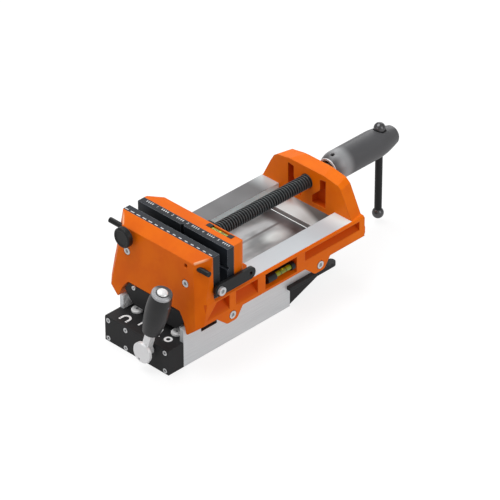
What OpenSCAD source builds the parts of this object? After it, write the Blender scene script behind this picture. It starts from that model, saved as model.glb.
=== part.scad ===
// Magnetic drill vise. A cast vise with 150 mm jaws stands on a switchable magnet base.
// X runs across the jaws, Y from the lever end to the spindle handle, Z up.
// The origin is on the underside of the magnet base, at the middle of its front edge.

/* [Magnet base] */
// Width over the two side plates
base_w = 107.4; // [106:0.2:109]
// Length of the wide front block
block_len = 25; // [23:1:26]
// Height of the front block
block_h = 34.2; // [33.4:0.2:35]
// Length of the tongue of the block between the plates
tongue_len = 20; // [20:1:22]
// Thickness of a side plate
plate_t = 6; // [5:0.5:7]
// Height of the side plates
plate_h = 52; // [51:0.5:53]
// Where the foot of the side plates ends
plate_end = 203.4; // [202:0.2:206]
// Where the raised tail of the side plates ends
tail_end = 262; // [258:1:265]
// Height of the underside of the tail
tail_z = 31.5; // [31:0.5:34]
// Where the window in a side plate begins
window_start = 54; // [50:1:56]
// Length of the window in a side plate
window_len = 26; // [20:1:28]
// Height of the window in a side plate
window_h = 8; // [6:1:9]
// Thickness of the deck plate on the magnet
deck_t = 12; // [11:0.5:13]
// Where the deck plate ends
deck_end = 270; // [266:1:270]
// Width of a strap bar beside the tail
strap_w = 6; // [5:0.5:7]
// Where the strap bars end
strap_end = 280; // [278:1:288]
// Thickness of a strap bar
strap_t = 5; // [4:0.5:6]

/* [Front block fittings] */
// Head diameter of the block screws
block_screw_d = 6.4; // [5.6:0.2:6.6]
// Distance of the outer block screws from the middle
block_screw_x = 48; // [47:0.5:49]
// Distance of the inner block screws from the middle
block_screw_in_x = 18.5; // [17:0.5:20]
// Height of the lower row of block screws
block_screw_low = 4.2; // [4.2:0.2:5]
// Height of the upper row of block screws
block_screw_high = 29.4; // [28:0.2:29.4]
// Diameter of the round cap screws on the tongue
cap_d = 14.5; // [12:0.5:15]
// Distance of the cap screws from the middle
cap_x = 33.8; // [31:0.2:34]
// Height of a cap screw head
cap_h = 3; // [2.5:0.5:4]
// Diameter of the cross bar behind the cap screws
cross_bar_d = 9; // [7:0.5:10]

/* [Rotors] */
// Diameter of a magnet rotor
rotor_d = 38; // [34:1:40]
// Distance of a rotor from the middle
rotor_x = 24; // [22:0.5:25]
// Height of the rotor axes
rotor_z = 25.4; // [24.6:0.2:26]
// Diameter of the rotor shaft
shaft_d = 16; // [12:1:16]

/* [Lever] */
// Diameter of the lever hub
hub_d = 27; // [25:0.5:29]
// Distance of the hub's face from the front of the block
hub_reach = 16; // [15:0.5:18]
// Thickness of the hub's disc
disc_t = 5; // [4.5:0.5:6]
// Lean of the lever from upright, toward the off mark
lever_tilt = 17.4; // [15:0.2:20]
// Width of the flat neck
neck_w = 9.6; // [9:0.2:10]
// Thickness of the neck, along the axis
neck_t = 8.6; // [8:0.2:9]
// Distance from the hub axis to the foot of the grip
grip_start = 34; // [33:0.5:35]
// Length of the grip
grip_len = 63; // [61:1:66]
// Widest diameter of the grip
grip_d = 29; // [27:0.5:29]
// Diameter of the grip's foot
grip_foot_d = 22; // [20:0.5:23]
// Diameter of the grip's end and its metal ring
grip_top_d = 25; // [24:0.5:26]
// Thickness of the metal ring
ring_t = 3; // [2:0.5:4]
// Diameter of the white dome in the ring
dome_d = 13.5; // [12:0.5:15]
// Height of the dome over the ring
dome_h = 3; // [2:0.5:4]

/* [Vise frame] */
// Length of the frame, from the front of the base
frame_end = 308; // [306:1:309]
// Thickness of the rear bridge
bridge_t = 21; // [19:1:22]
// Height of the machined rails
rail_top = 92.7; // [92:0.1:93]
// Step of the machined rails past the ends of the jaws
rail_step = 0.5; // [0.4:0.1:1]
// Half width of the channel between the rails
rail_in = 47; // [46:0.5:48]
// Step of the side flanges past the ends of the jaws
flange_step = 3; // [2.5:0.5:4]
// Thickness of the rails over the guide slots
rail_t = 11; // [10:0.5:11.5]
// Half width over the guide slots under the rails
slot_out = 57; // [55:0.5:59]
// Depth of the scooped side pockets
pocket_depth = 10; // [7:0.5:10]
// Drop of an ear screw below the underside of the frame
ear_drop = 5.6; // [5:0.2:6]
// Distance of the front ear screws from the front of the base
ear_front_y = 82.3; // [80:0.5:84]
// Distance of the rear ear screws from the front of the base
ear_rear_y = 230.4; // [226:0.5:234]
// Head diameter of the ear screws
ear_screw_d = 10; // [9:0.5:10]

/* [Fixed jaw] */
// Height of the jaw tops
jaw_top = 150.5; // [149:0.5:152]
// Place of the seat of the fixed jaw plate
seat_y = 53.4; // [52:0.2:55]
// Place of the front ridge of the jaw
ridge_y = 37; // [36:0.5:37.5]
// Drop of the front ridge below the jaw tops
ridge_drop = 9; // [7:0.5:10]
// Distance of the ridge's ends from the ends of the jaw
ridge_in = 16; // [13:1:18]
// Place of the toe of the front face
toe_y = 26; // [25:0.5:27]
// Height of the toe of the front face
toe_z = 46.5; // [45:0.5:48]
// Distance of the front face's foot from the ends of the jaw
foot_in = 5; // [3:0.5:6]
// Height of the arch under the jaw
arch_z = 73; // [72:0.5:74]

/* [Jaw plates] */
// Width of the jaws
jaw_w = 150; // [149:0.5:151]
// Thickness of a jaw plate
insert_t = 10.5; // [10:0.5:11]
// Opening between the jaw plates, as shown
jaw_gap = 13.4; // [12.4:0.2:14]
// Depth of the V grooves in the moving plate
vee_depth = 3; // [2:0.5:4]
// Height of the level V groove
vee_z = 124; // [121:1:128]
// Distance of the jaw screws from the middle
jaw_screw_x = 49; // [47:0.5:52]
// Height of the jaw screws
jaw_screw_z = 111.6; // [111:0.2:113]

/* [Moving jaw] */
// Depth of the moving jaw at its top
moving_depth = 16.7; // [16:0.1:18]
// Lean of the back of the moving jaw over its height
moving_lean = 5.5; // [4:0.5:6]
// Length of the sliding foot
moving_foot = 34; // [32:1:36]
// Half width of the sliding foot
foot_half = 62; // [60:1:64]
// Diameter of the spindle boss
boss_d = 34; // [32:1:38]
// Thickness of the keeper plate
keeper_t = 8; // [7:0.5:8.5]

/* [Spindle and handle] */
// Height of the spindle axis
spindle_z = 116.5; // [116:0.5:117]
// Outer diameter of the spindle
spindle_d = 18; // [17:0.5:18.5]
// Outer diameter of the bush in the bridge
bush_d = 26; // [24:0.5:28]
// Where the handle barrel begins
barrel_start = 323; // [323:0.5:325]
// Length of the handle barrel
barrel_len = 117; // [116:1:119]
// Widest diameter of the handle barrel
barrel_d = 37.6; // [36:0.2:38]
// Diameter of the barrel's front rim
barrel_front_d = 28; // [26:0.5:30]
// Diameter of the barrel's blunt end
barrel_end_d = 23; // [20:0.5:25]
// Diameter of the button in the barrel's end
button_d = 9; // [7:0.5:10]
// Distance from the barrel's front to the T-bar
tbar_in = 92; // [90:1:94]
// Diameter of the T-bar
tbar_d = 9.5; // [9:0.5:10]
// Distance between the centres of the T-bar balls
tbar_len = 123; // [121:1:125]
// Diameter of the T-bar balls
ball_d = 15; // [14:0.5:16]

/* [Work stop] */
// Diameter of the stop rod
rod_d = 7; // [6:0.5:7]
// Place of the stop rod behind the front of the base
stop_y = 42.4; // [42:0.1:43]
// Drop of the stop rod below the jaw tops
stop_drop = 15.9; // [15.5:0.1:16.5]
// Reach of the stop rod to the left
rod_left = 86; // [84:1:88]
// Reach of the stop rod to the right
rod_right = 80; // [79:1:82]
// Diameter of the clamp knob
knob_d = 26; // [24:0.5:27]
// Distance of the clamp knob from the middle
knob_x = 47.5; // [46:0.5:48]
// Distance between the two ends of the stop arm
arm_len = 50; // [46:1:52]
// Width of the stop arm
arm_w = 16; // [14:0.5:16]
// Thickness of the stop arm
arm_t = 4; // [3.5:0.5:5]
// Height of the arm pivot
arm_z = 105; // [104.5:0.5:106]

/* [Bubble levels] */
// Diameter of the side level's vial
side_vial_d = 6.6; // [6:0.2:7]
// Diameter of the jaw level's vial
jaw_vial_d = 6; // [5:0.5:6]

/* [Fits] */
// Radial clearance of a running fit
run_clear = 0.08; // [0.03:0.01:0.1]
// Clearance between flat sliding faces
slide_clear = 0.1; // [0.06:0.01:0.2]
// Radial clearance round a screw shank
screw_clear = 0.25; // [0.1:0.05:0.4]
// Radial gap of a seated screw, shaft or bush
seat_clear = 0.03; // [0.02:0.01:0.05]

/* [Hidden] */
$fn = 96;
big = 400;
eps = 0.01;

// Places along the magnet base
half_w = base_w / 2;
plate_in = half_w - plate_t;
tongue_end = block_len + tongue_len;
cap_y = block_len + 9;
cap_shank_d = 6;
cap_shank_len = 3.4;
cap_dimple_d = 3;
block_seat = 12;
deck_top = plate_h + deck_t;
core_low = 0.4;
core_end = plate_end - 0.5;
rotor_gap = 0.4;
rotor_end = plate_end - 9;
journal_len = 5;
window_z = 36;
cross_bar_y = tongue_end - 6;
cross_bar_z = plate_h - 7;
wedge_top = tail_z - strap_t;
wedge_low = 3;

// The lever turns about the right rotor's axis
hub_back = -1;
hub_front = -hub_reach;
boss_out_d = 14;
spigot_d = 8;
spigot_in = 12;
shaft_front = 0.5;
left_shaft_in = 10;
lever_y = -8;
neck_foot = spigot_d / 2 + 0.6;
tang_d = 8;
tang_end = 10;
pin_hole = [-3.2, -9.4];
pin_hole_d = 3;
pin_hole_depth = 3;
grip_end = grip_start + grip_len;
grip_full = 36;
grip_taper = 42;
grip_steps = 8;
ring_bore_r = dome_d / 2 + 0.9;
cap_stub_d = 16;
cap_inset = 3;

// Heights and places of the frame, whose sides follow the width of the jaws
rail_out = jaw_w / 2 + rail_step;
flange_out = jaw_w / 2 + flange_step;
frame_low = deck_top;
ledge_in = 45;
ledge_top = frame_low + 8;
rail_low = rail_top - rail_t;
flange_top = rail_top - 2.5;
ear_z = frame_low - ear_drop;
ear_depth = flange_out - half_w;
ear_shank_d = 6;
ear_head_h = 4.6;
ear_bore = 4;
ear_grip = 10;
ear_lead = 26;
ear_trail = 17;
ear_low_r = 9;
deck_thread = 14;
bridge_start = frame_end - bridge_t;
bridge_low = 84;
bridge_front_z = 136.2;
bridge_fall = 0.06;
tie_top = frame_low + 6;
pocket_top = rail_top - 4.2;
pocket_wall = flange_out - pocket_depth;
pocket_low = frame_low - 4;
web_half = 52;

// The pocket beside the fixed jaw has a slanted front end
front_pocket_start = 38.5;
front_pocket_slant = 57;
front_pocket_end = 77.4;

// The pockets behind it, as start, length, low edge of the floor and foot of the back wall
pockets = [[88, 36.5, 68.5, 80], [137, 53, 68, 70.4], [204, 94, 76, 83]];

// Pockets in the front face of the bridge, which bend in round the foot of the spindle's boss
bridge_pocket_depth = 10;
bridge_pocket_low = 91;
bridge_pocket = [[22, 128], [31.5, 129.5], [31.5, bridge_pocket_low], [9, bridge_pocket_low],
    [9, 100.5], [22, 113]];
bush_start = bridge_start + 7;
bush_front_gap = 0.7;

// Corners of the bridge's outline, and of the arch between the legs of the fixed jaw
bridge_crown = [22, 137.4, 60];
bridge_shoulder = [54, 131.8, 8];
shoulder_normal = [0.6, 0.14, 0.79];
side_normal = [0.894, 0.2, 0.447];
arch_corner = [43.5, arch_z, 4];
arch_knee = [51.5, 62.5, 10];
leg_knee_z = 51.5;
leg_in = half_w + 2.3;
ridge_x = jaw_w / 2 - ridge_in;
ridge_z = jaw_top - ridge_drop;
foot_x = jaw_w / 2 - foot_in;

// Corners of the jaw's front, at the ridge, the foot and the seat
ridge_corner = [ridge_x, ridge_y, ridge_z];
foot_corner = [foot_x, toe_y + 2, frame_low];
seat_corner = [jaw_w / 2, seat_y, jaw_top];
flank_normal = cross(foot_corner - ridge_corner, seat_corner - ridge_corner);
face_normal = [0, toe_z - ridge_z, ridge_y - toe_y];
bevel_normal = [0, ridge_z - jaw_top, seat_y - ridge_y];
jaw_head_d = 9.5;
jaw_head_h = 5;
jaw_bore_d = 10.5;
jaw_shank_d = 6;
jaw_head_seat = 38.5;
jaw_thread = 7;
shield_front = 30;
shield_t = 3;
shield_back = shield_front + shield_t;
shield_screw_places = [-33, 26];
shield_screw_z = 69.2;
shield_shank_d = 3;
shield_thread = 10;
shield_head_d = 5.6;
shield_head_h = 2.4;

// Jaw plates and moving jaw
insert_low = rail_top + 0.4;
fixed_face = seat_y + insert_t;
moving_face = fixed_face + jaw_gap;
moving_seat = moving_face + insert_t;
moving_low = rail_top + slide_clear;
moving_top_y = moving_seat + moving_depth;
moving_back = moving_top_y + moving_lean;
moving_head_seat = moving_seat + 11;
foot_end = moving_seat + moving_foot;
foot_top = 105;
guide_half = rail_in - slide_clear;
keeper_top = rail_low - slide_clear;
keeper_low = keeper_top - keeper_t;
keeper_half = slot_out - 0.5;
keeper_screw_x = 32;
keeper_places = [moving_seat + 7, foot_end - 7];
keeper_screw_d = 5;
keeper_screw_len = 14;
keeper_head_d = 8.4;
keeper_bore_d = 9;
keeper_head_h = 4.8;
jaw_tail_r = 13;
jaw_chamfer = 25;
jaw_chamfer_r = 6;
jaw_end_t = 4;
recess_len = 42;
recess_right = jaw_w / 2 - 13;
recess_left = recess_right - recess_len;
recess_front = moving_seat + 8.2;
recess_back = moving_top_y - 1.9;
recess_floor = jaw_top - 8.5;
jaw_level_y = (recess_front + recess_back) / 2;
jaw_level_z = jaw_top - 3.8;
jaw_level_cap = 7.5;

// Spindle, its retainer and the handle
spindle_start = moving_seat + 12;
spindle_in_barrel = 60;
retainer_t = 5;
retainer_d = 32;
retainer_screw_x = 10.5;
retainer_screw_z = spindle_z + 9;
retainer_screw_d = 3;
retainer_head_d = 5;
retainer_head_h = 2;
neck_d = spindle_d - 5;
barrel_r = barrel_d / 2;
barrel_front_r = barrel_front_d / 2;
barrel_tip_r = barrel_end_d / 2;
barrel_edge = 2.5;
button_h = 2.5;
barrel_flare = 16;
barrel_shoulder = 77;
barrel_steps = 10;
tail_steps = 9;
rim_d = barrel_front_d - 4;
set_screw_in = 9;
set_screw_d = 5;
tbar_y = barrel_start + tbar_in;
tbar_hole_r = tbar_d / 2 + run_clear;
tbar_seat = spindle_z + barrel_r - 5.8;
tbar_seat_r = ball_d / 2 + 0.8;
ball_rise = sqrt(pow(ball_d / 2, 2) - pow(tbar_hole_r, 2));
ball_z = tbar_seat + ball_rise + 0.3;

// Work stop
stop_z = jaw_top - stop_drop;
knob_stem_d = 5;
knob_back = 31;
knob_t = 8;
arm_x = jaw_w / 2 + 2.2;
arm_y = fixed_face - 4.4;
arm_hub_d = 11.6;
arm_hole_d = 5.5;
arm_shank_d = 6;
arm_head_d = 11;
arm_head_h = 3.8;
arm_thread = 12;

// Side level
side_level_x = flange_out - 5;
side_level_z = 75.7;
level_floor = 70.4;
side_block_d = 10;
side_strip_t = 0.6;
side_block_start = 143;
side_block_end = 188;
side_vial_start = 157;
side_vial_end = 183;

steel = [0.78, 0.79, 0.8];
dark_steel = [0.24, 0.26, 0.28];
orange = [0.9, 0.38, 0.1];
black = [0.12, 0.12, 0.13];
chrome = [0.88, 0.89, 0.9];
bronze = [0.75, 0.58, 0.3];
green = [0.7, 0.85, 0.2];

// The vector p turned by an angle in its plane.
function turned(p, angle) =
    [p.x * cos(angle) - p.y * sin(angle), p.x * sin(angle) + p.y * cos(angle)];

// Points of the arc with radius r that rounds the corner b between the corners a and c.
function corner_arc(a, b, c, r, steps = 5) =
    let(
        u = (a - b) / norm(a - b),
        v = (c - b) / norm(c - b),
        half = acos(u * v) / 2,
        centre = b + (u + v) / norm(u + v) * r / sin(half),
        from = b + u * r / tan(half) - centre,
        to = b + v * r / tan(half) - centre,
        turn = atan2(cross(from, to), from * to)
    )
    [for (i = [0:steps]) centre + turned(from, turn * i / steps)];

// The x and y of a corner.
function flat(p) = [p.x, p.y];

// A closed outline whose corners, given as [x, y, radius], are rounded.
function rounded(corners) =
    let(n = len(corners))
    [
        for (i = [0:n - 1])
            let(a = corners[(i + n - 1) % n], b = corners[i], c = corners[(i + 1) % n])
            each (b.z > 0 ? corner_arc(flat(a), flat(b), flat(c), b.z) : [flat(b)])
    ];

// Corners of a right half outline, joined with their mirror image.
function mirrored(half) =
    concat(half, [for (i = [len(half) - 1:-1:0]) [-half[i].x, half[i].y, half[i].z]]);

// Draws its children and their mirror image across the middle plane.
module both_sides() {
    children();
    mirror([1, 0, 0]) children();
}

// Extrudes an outline drawn in Y and Z along X, from x0 to x1.
module along_x(x0, x1) {
    translate([x0, 0, 0]) rotate([90, 0, 90]) linear_extrude(x1 - x0) children();
}

// Extrudes an outline drawn in X and Z along Y, from y0 to y1.
module along_y(y0, y1) {
    translate([0, y1, 0]) rotate([90, 0, 0]) linear_extrude(y1 - y0) children();
}

// A cylinder along X, from x0 to x1, at y and z.
module rod_x(x0, x1, y, z, d) {
    translate([x0, y, z]) rotate([0, 90, 0]) cylinder(h = x1 - x0, d = d);
}

// A cylinder along Y, from y0 to y1, at x and z.
module rod_y(y0, y1, x, z, d) {
    translate([x, y0, z]) rotate([-90, 0, 0]) cylinder(h = y1 - y0, d = d);
}

// A cylinder along Z, from z0 to z1, at x and y.
module rod_z(z0, z1, x, y, d) {
    translate([x, y, z0]) cylinder(h = z1 - z0, d = d);
}

// A box between two opposite corners.
module box(low, high) {
    translate(low) cube(high - low);
}

// The half space beyond a plane through the point p, on the side of the normal n.
module beyond(p, n) {
    translate(p) rotate([0, acos(n.z / norm(n)), atan2(n.y, n.x)])
        translate([-big, -big, 0]) cube(2 * big);
}

// A socket head screw along Z, with the top of its head at zero and a hexagonal socket.
module socket_screw(head_d, head_h, shank_d, shank_len) {
    difference() {
        union() {
            translate([0, 0, -head_h]) cylinder(h = head_h, d = head_d);
            translate([0, 0, -head_h - shank_len]) cylinder(h = shank_len + eps, d = shank_d);
        }
        translate([0, 0, -head_h * 0.6]) cylinder(h = head_h, d = head_d * 0.55, $fn = 6);
    }
}

// The places of the block screws in X and Z, less the one that the lever shaft takes.
block_places = [
    for (x = [-block_screw_x, -block_screw_in_x, block_screw_in_x, block_screw_x],
        z = [block_screw_low, block_screw_high])
        if (norm([x - rotor_x, z - rotor_z]) > shaft_d / 2 + block_screw_d) [x, z]
];

// Front block of the magnet, with the seats of its screws and the bore of the lever shaft.
module front_block() {
    color(black) difference() {
        union() {
            along_x(-half_w, half_w)
                polygon([[0, 0], [block_len, 0], [block_len, block_h], [1, block_h], [0, block_h - 1]]);
            box([-plate_in, block_len - eps, 0], [plate_in, tongue_end, block_h]);
        }
        rod_y(-1, tongue_end + 1, rotor_x, rotor_z, shaft_d + 2 * run_clear);
        rod_y(tongue_end - left_shaft_in, tongue_end + 1, -rotor_x, rotor_z,
            shaft_d + 2 * run_clear);
        for (p = block_places)
            rod_y(-1, block_seat, p.x, p.y, block_screw_d + 2 * seat_clear);
        both_sides() rod_z(block_h - cap_shank_len - 0.5, block_h + 1, cap_x, cap_y,
            cap_shank_d + 2 * seat_clear);
    }
}

// Screws in the face of the front block.
module block_screws() {
    color(chrome)
        for (p = block_places)
            translate([p.x, -0.4, p.y]) rotate([90, 0, 0])
                socket_screw(block_screw_d, block_seat, block_screw_d - 2, eps);
}

// Two round cap screws on the tongue of the block, with a small dimple.
module cap_screws() {
    r = cap_d / 2;
    color(chrome) both_sides() translate([cap_x, cap_y, block_h]) {
        rotate_extrude() polygon([[0, 0], [r, 0], [r, cap_h - 0.7], [r - 0.7, cap_h],
            [cap_dimple_d / 2, cap_h], [0, cap_h - 0.8]]);
        translate([0, 0, -cap_shank_len]) cylinder(h = cap_shank_len + eps, d = cap_shank_d);
    }
}

// One side plate of the magnet, with its window and raised tail.
module side_plate() {
    difference() {
        along_x(plate_in, half_w)
            polygon([[block_len, 0], [plate_end, 0], [plate_end, tail_z], [tail_end, tail_z],
                [tail_end, plate_h], [block_len, plate_h]]);
        box([plate_in - 1, window_start, window_z],
            [half_w + 1, window_start + window_len, window_z + window_h]);
    }
}

module side_plate_right() {
    color(steel) side_plate();
}

module side_plate_left() {
    color(steel) mirror([1, 0, 0]) side_plate();
}

// Body of the magnet between the plates, bored for the two rotors.
module magnet_core() {
    color(dark_steel) difference() {
        box([-plate_in, tongue_end, core_low], [plate_in, core_end, plate_h]);
        both_sides() {
            rod_y(tongue_end - 1, rotor_end + rotor_gap, rotor_x, rotor_z, rotor_d + 2 * run_clear);
            rod_y(rotor_end - 1, rotor_end + journal_len + 1, rotor_x, rotor_z,
                shaft_d + 2 * run_clear);
        }
    }
}

// Round bar between the side plates, above the tongue.
module cross_bar() {
    color(steel) rod_x(-plate_in, plate_in, cross_bar_y, cross_bar_z, cross_bar_d);
}

// Polished deck plate on which the vise frame stands.
module deck_plate() {
    color(steel) difference() {
        box([-half_w, tongue_end, plate_h], [half_w, deck_end, deck_top]);
        for (y = [ear_front_y, ear_rear_y])
            both_sides()
                rod_x(half_w - deck_thread, half_w + 1, y, ear_z, ear_shank_d + 2 * seat_clear);
    }
}

// Black end piece behind the magnet, cut away below so that the base can be tipped off.
module rear_wedge() {
    color(black) along_x(-half_w, half_w)
        polygon([[plate_end, wedge_low], [tail_end + 3, wedge_top - 0.5],
            [tail_end + 3, wedge_top], [plate_end, wedge_top]]);
}

// Two flat bars between the tail and the wedge, with round ends, for a safety strap.
module strap_bars() {
    bar_out = half_w + strap_w;
    r = strap_w;
    color(dark_steel) both_sides() translate([0, 0, wedge_top]) linear_extrude(strap_t) {
        translate([plate_in, plate_end]) square([bar_out - plate_in, strap_end - r - plate_end]);
        translate([half_w, plate_end - 5]) square([strap_w, 10]);
        translate([bar_out - r, strap_end - r]) circle(r);
    }
}

// Black plate that closes the arch under the fixed jaw.
module shield_plate() {
    color(black) difference() {
        along_y(shield_front, shield_back)
            polygon(rounded(mirrored([[43, arch_z - 1.5, 1], [50.2, 60.5, 2], [37, 44, 2]])));
        for (x = shield_screw_places)
            rod_y(0, shield_back + 1, x, shield_screw_z, shield_shank_d + 2 * screw_clear);
    }
}

// Two screws that hold the shield plate on the frame's web.
module shield_screws() {
    color(chrome)
        for (x = shield_screw_places)
            translate([x, shield_front - shield_head_h, shield_screw_z]) rotate([90, 0, 0])
                socket_screw(shield_head_d, shield_head_h, shield_shank_d, shield_thread);
}

// The fixed jaw with its two legs, cut to its drafted faces.
module jaw_block() {
    difference() {
        along_y(toe_y - 1, seat_y) polygon(rounded(mirrored([
            [jaw_w / 2, jaw_top, 0], [jaw_w / 2 + 1, rail_top + 4, 0], [flange_out, flange_top, 0],
            [flange_out, frame_low, 2], [leg_in + 1.5, toe_z, 2], [leg_in, leg_knee_z, 4],
            arch_knee, arch_corner])));
        beyond([0, ridge_y, ridge_z], face_normal);
        beyond([0, ridge_y, ridge_z], bevel_normal);
        both_sides() beyond(ridge_corner, flank_normal);
        box([-big, tongue_end, 0], [big, seat_y + 1, frame_low]);
    }
}

// Cross section of the right side beam with its rail, in X and Z.
module beam_outline() {
    polygon([[rail_in, rail_top], [rail_out, rail_top], [flange_out, flange_top],
        [flange_out, frame_low], [ledge_in, frame_low], [ledge_in, ledge_top], [slot_out, ledge_top],
        [slot_out, rail_low], [rail_in, rail_low]]);
}

// A scooped pocket over an outline in Y and Z. Its back wall ends at the height knee,
// and its floor slopes out to the face at the height low.
module scoop(low, knee) {
    intersection() {
        along_y(0, frame_end)
            polygon([[pocket_wall, pocket_top], [flange_out + 1, pocket_top],
                [flange_out + 1, low - 1], [pocket_wall, knee]]);
        along_x(pocket_wall - 1, flange_out + 2) children();
    }
}

// Outline of one ear in Y and Z, round a screw at y.
module ear_outline(y) {
    front = y - ear_lead;
    rear = y + ear_trail;
    polygon(rounded([[front - 1, frame_low + 1, 0], [front, frame_low, 0],
        [y - ear_low_r, ear_z - ear_low_r, 7], [y + ear_low_r - 2, ear_z - ear_low_r, 7],
        [rear, frame_low, 0], [rear + 1, frame_low + 1, 0]]));
}

// Cross section of the rear bridge, in X and Z.
module bridge_outline() {
    polygon(rounded(mirrored([bridge_crown, bridge_shoulder, [flange_out, flange_top, 8],
        [flange_out, frame_low, 5]])));
}

// The rear bridge. Its top falls toward the front face, and its flanks lean in to the rear.
module bridge() {
    difference() {
        along_y(bridge_start, frame_end) bridge_outline();
        beyond([0, bridge_start, bridge_front_z], [0, -bridge_fall, 1]);
        both_sides() {
            beyond([bridge_shoulder.x + 0.5, bridge_start, bridge_shoulder.y + 1], side_normal);
            beyond([bridge_shoulder.x - 2, bridge_start, bridge_shoulder.y], shoulder_normal);
        }
    }
}

// The casting: fixed jaw, side beams with rails, ears and rear bridge.
module vise_frame() {
    color(orange) difference() {
        union() {
            jaw_block();
            box([-web_half, shield_back, frame_low], [web_half, seat_y, arch_z + 2]);
            both_sides() {
                along_y(tongue_end, frame_end - 1) beam_outline();
                for (y = [ear_front_y, ear_rear_y])
                    along_x(half_w, flange_out) ear_outline(y);
            }
            bridge();
            box([-slot_out, deck_end + 1, frame_low], [slot_out, frame_end - 1, tie_top]);
        }
        box([-ledge_in, bridge_start - 1, tie_top], [ledge_in, frame_end + 1, bridge_low]);
        rod_y(bridge_start - 1, frame_end + 1, 0, spindle_z, spindle_d + 2 * bush_front_gap);
        rod_y(bush_start, frame_end + 1, 0, spindle_z, bush_d + 2 * seat_clear);
        both_sides() {
            scoop(pockets[0][2], pockets[0][3])
                polygon([[front_pocket_start, frame_low + 4], [front_pocket_slant, pocket_top],
                    [front_pocket_end, pocket_top], [front_pocket_end, pocket_low],
                    [front_pocket_start, pocket_low]]);
            for (p = pockets)
                scoop(p[2], p[3]) translate([p[0], pocket_low]) square([p[1], pocket_top - pocket_low]);
            along_y(bridge_start - 1, bridge_start + bridge_pocket_depth) polygon(bridge_pocket);
            rod_y(0, seat_y + 1, jaw_screw_x, jaw_screw_z, jaw_shank_d + 2 * screw_clear);
            rod_y(0, jaw_head_seat, jaw_screw_x, jaw_screw_z, jaw_bore_d);
            rod_y(0, stop_y, knob_x, stop_z, knob_stem_d + 2 * run_clear);
            for (y = [ear_front_y, ear_rear_y]) {
                rod_x(half_w - 1, flange_out + 1, y, ear_z, ear_shank_d + 2 * screw_clear);
                rod_x(flange_out - ear_bore, flange_out + 1, y, ear_z, ear_screw_d + 1);
            }
        }
        for (x = shield_screw_places)
            rod_y(shield_back - 1, shield_front + shield_thread + 0.5, x, shield_screw_z,
                shield_shank_d + 2 * seat_clear);
        rod_x(-big / 2, big / 2, stop_y, stop_z, rod_d + 2 * run_clear);
    }
}

// Four screws that hold the frame's ears on the deck plate.
module ear_screws() {
    color(chrome) both_sides()
        for (y = [ear_front_y, ear_rear_y])
            translate([flange_out - ear_bore + ear_head_h, y, ear_z]) rotate([0, 90, 0])
                socket_screw(ear_screw_d, ear_head_h, ear_shank_d, ear_depth - ear_bore + ear_grip);
}

// Fixed jaw plate, with threads for its two screws and for the pivot of the stop arm.
module fixed_jaw_plate() {
    color(black) difference() {
        box([-jaw_w / 2, seat_y, insert_low], [jaw_w / 2, fixed_face, jaw_top]);
        both_sides() rod_y(seat_y - 1, seat_y + jaw_thread + 1, jaw_screw_x, jaw_screw_z,
            jaw_shank_d + 2 * seat_clear);
        rod_x(jaw_w / 2 - arm_thread - 1, jaw_w / 2 + 1, arm_y, arm_z, arm_shank_d + 2 * seat_clear);
    }
}

// Two screws that hold the fixed jaw plate, with their heads sunk in the front face.
module fixed_jaw_screws() {
    color(chrome) both_sides()
        translate([jaw_screw_x, jaw_head_seat - jaw_head_h, jaw_screw_z]) rotate([90, 0, 0])
            socket_screw(jaw_head_d, jaw_head_h, jaw_shank_d, seat_y + jaw_thread - jaw_head_seat);
}

// Bronze bush in the bridge, through which the spindle runs.
module spindle_bush() {
    color(bronze) difference() {
        rod_y(bush_start, frame_end, 0, spindle_z, bush_d);
        rod_y(bridge_start - 1, frame_end + 1, 0, spindle_z, spindle_d + 2 * run_clear);
    }
}

// Black holder of the side level: two round blocks on a back strip.
module side_level_holder() {
    color(black) {
        rod_y(side_block_start, side_vial_start, side_level_x, side_level_z, side_block_d);
        rod_y(side_vial_end, side_block_end, side_level_x, side_level_z, side_block_d);
        box([pocket_wall, side_block_start, level_floor + 0.3],
            [pocket_wall + side_strip_t, side_block_end, side_level_z + side_block_d / 2]);
    }
}

// Vial of the side level.
module side_level_vial() {
    color(green) rod_y(side_vial_start, side_vial_end, side_level_x, side_level_z, side_vial_d);
}

// Outline of the moving jaw seen from above, with a chamfered left and a round right end.
module moving_jaw_plan() {
    polygon(rounded([[-jaw_w / 2, moving_seat, 0], [jaw_w / 2, moving_seat, 0],
        [jaw_w / 2, moving_back, jaw_tail_r], [jaw_chamfer - jaw_w / 2, moving_back, jaw_chamfer_r],
        [-jaw_w / 2, moving_seat + jaw_end_t, 3]]));
}

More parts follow.
